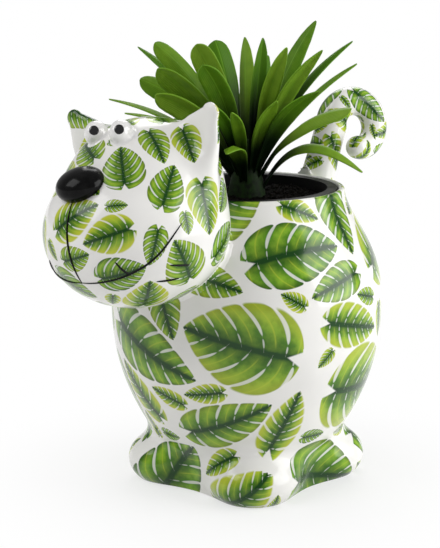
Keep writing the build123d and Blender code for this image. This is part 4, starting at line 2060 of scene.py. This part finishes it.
@dataclass
class Studio:
    """White sweep, soft boxes and the photograph's camera, in metres."""

    camera_place: Triple = (0.5545, -0.6826, 0.3012)
    camera_target: Triple = (-0.01072, -0.009, 0.1095)
    lens: float = 111.57
    sensor_width: float = 36.0
    boxes: tuple[SoftBox, ...] = (
        SoftBox("key_box", (-0.35, -0.8, 0.95), 0.7, 6.2),
        SoftBox("side_box", (0.8, 0.45, 0.4), 0.75, 8.4),
        SoftBox("back_box", (-0.5, 0.7, 0.8), 0.6, 3.5),
    )
    box_target: Triple = (0, 0, 0.1)
    world_strength: float = 0.48
    floor_white: Colour = (0.86, 0.86, 0.86)
    floor_half: float = 20.0
    floor_z: float = -0.0004
    shadow_ramp: Pair = (-0.12, 0.17)

    def build(self) -> None:
        """Sets the stage."""
        bpy.context.scene.view_settings.view_transform = "Standard"
        self._camera()
        self._world()
        self._floor()
        for box in self.boxes:
            self._soft_box(box)

    @staticmethod
    def _aimed(data: bpy.types.ID, place: Triple, target: Triple) -> bpy.types.Object:
        """Puts a camera or lamp into the scene, turned to a target.

        Args:
            data: The camera or lamp.
            place: Where it stands.
            target: What it looks at.

        Returns:
            Its object.
        """
        holder = bpy.data.objects.new(data.name, data)
        bpy.context.scene.collection.objects.link(holder)
        holder.location = place
        way = Vector(target) - Vector(place)
        holder.rotation_mode = "QUATERNION"
        holder.rotation_quaternion = way.to_track_quat("-Z", "Y")
        return holder

    def _camera(self) -> None:
        """Places the camera at the photograph's viewpoint."""
        data = bpy.data.cameras.new("camera")
        data.sensor_width = self.sensor_width
        data.lens = self.lens
        bpy.context.scene.camera = self._aimed(data, self.camera_place, self.camera_target)

    def _soft_box(self, box: SoftBox) -> None:
        """Hangs a soft box that faces the planter.

        Args:
            box: The soft box.
        """
        lamp = bpy.data.lights.new(box.name, "AREA")
        lamp.size = box.side
        lamp.energy = box.power
        self._aimed(lamp, box.place, self.box_target)

    def _world(self) -> None:
        """Even pale surroundings, white where they are seen."""
        world = bpy.data.worlds.new("surroundings")
        world.use_nodes = True
        bpy.context.scene.world = world
        tree = world.node_tree
        seen = tree.nodes["Background"]
        seen.inputs["Color"].default_value = (1, 1, 1, 1)
        lit = tree.nodes.new("ShaderNodeBackground")
        lit.inputs["Strength"].default_value = self.world_strength
        rays = tree.nodes.new("ShaderNodeLightPath")
        mix = tree.nodes.new("ShaderNodeMixShader")
        tree.links.new(rays.outputs["Is Camera Ray"], mix.inputs[0])
        tree.links.new(lit.outputs[0], mix.inputs[1])
        tree.links.new(seen.outputs[0], mix.inputs[2])
        tree.links.new(mix.outputs[0], tree.nodes["World Output"].inputs["Surface"])

    def _floor(self) -> None:
        """Pale floor that keeps the shadow near the planter and is white further off."""
        sheet = Sheet("pale_floor")
        x, y, _ = sheet.split(sheet.place())
        away = sheet.math("SQRT", x * x + y * y)
        rays = sheet.add("ShaderNodeLightPath")
        camera = Term(sheet, rays.outputs["Is Camera Ray"])
        seen = sheet.math("MAXIMUM", camera, Term(sheet, rays.outputs["Is Glossy Ray"]))
        white = sheet.add("ShaderNodeEmission")
        mix = sheet.add("ShaderNodeMixShader")
        sheet.feed(mix.inputs[0], away.step(*self.shadow_ramp) * seen)
        sheet.tree.links.new(sheet.shader.outputs[0], mix.inputs[1])
        sheet.tree.links.new(white.outputs[0], mix.inputs[2])
        sheet.tree.links.new(mix.outputs[0], sheet.tree.nodes["Material Output"].inputs["Surface"])
        material = sheet.finish(Base_Color=self.floor_white, Roughness=0.9)
        mesh = bpy.data.meshes.new("floor")
        ends = ((-1, -1), (1, -1), (1, 1), (-1, 1))
        corners = [(x * self.floor_half, y * self.floor_half, self.floor_z) for x, y in ends]
        mesh.from_pydata(corners, [], [(0, 1, 2, 3)])
        shown("floor", mesh, material)


def main() -> None:
    """Builds the planter's pieces in order."""
    logging.basicConfig(level=logging.INFO, format="%(message)s")
    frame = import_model()
    form = CeramicForm()
    CeramicCat(form).build()
    CatFace(form).build()
    StrapPlant().build(frame["nodes"])
    dress_node(frame["nodes"]["nursery_pot"], PotPlastic().material())
    Studio().build()


if __name__ == "__main__":
    main()
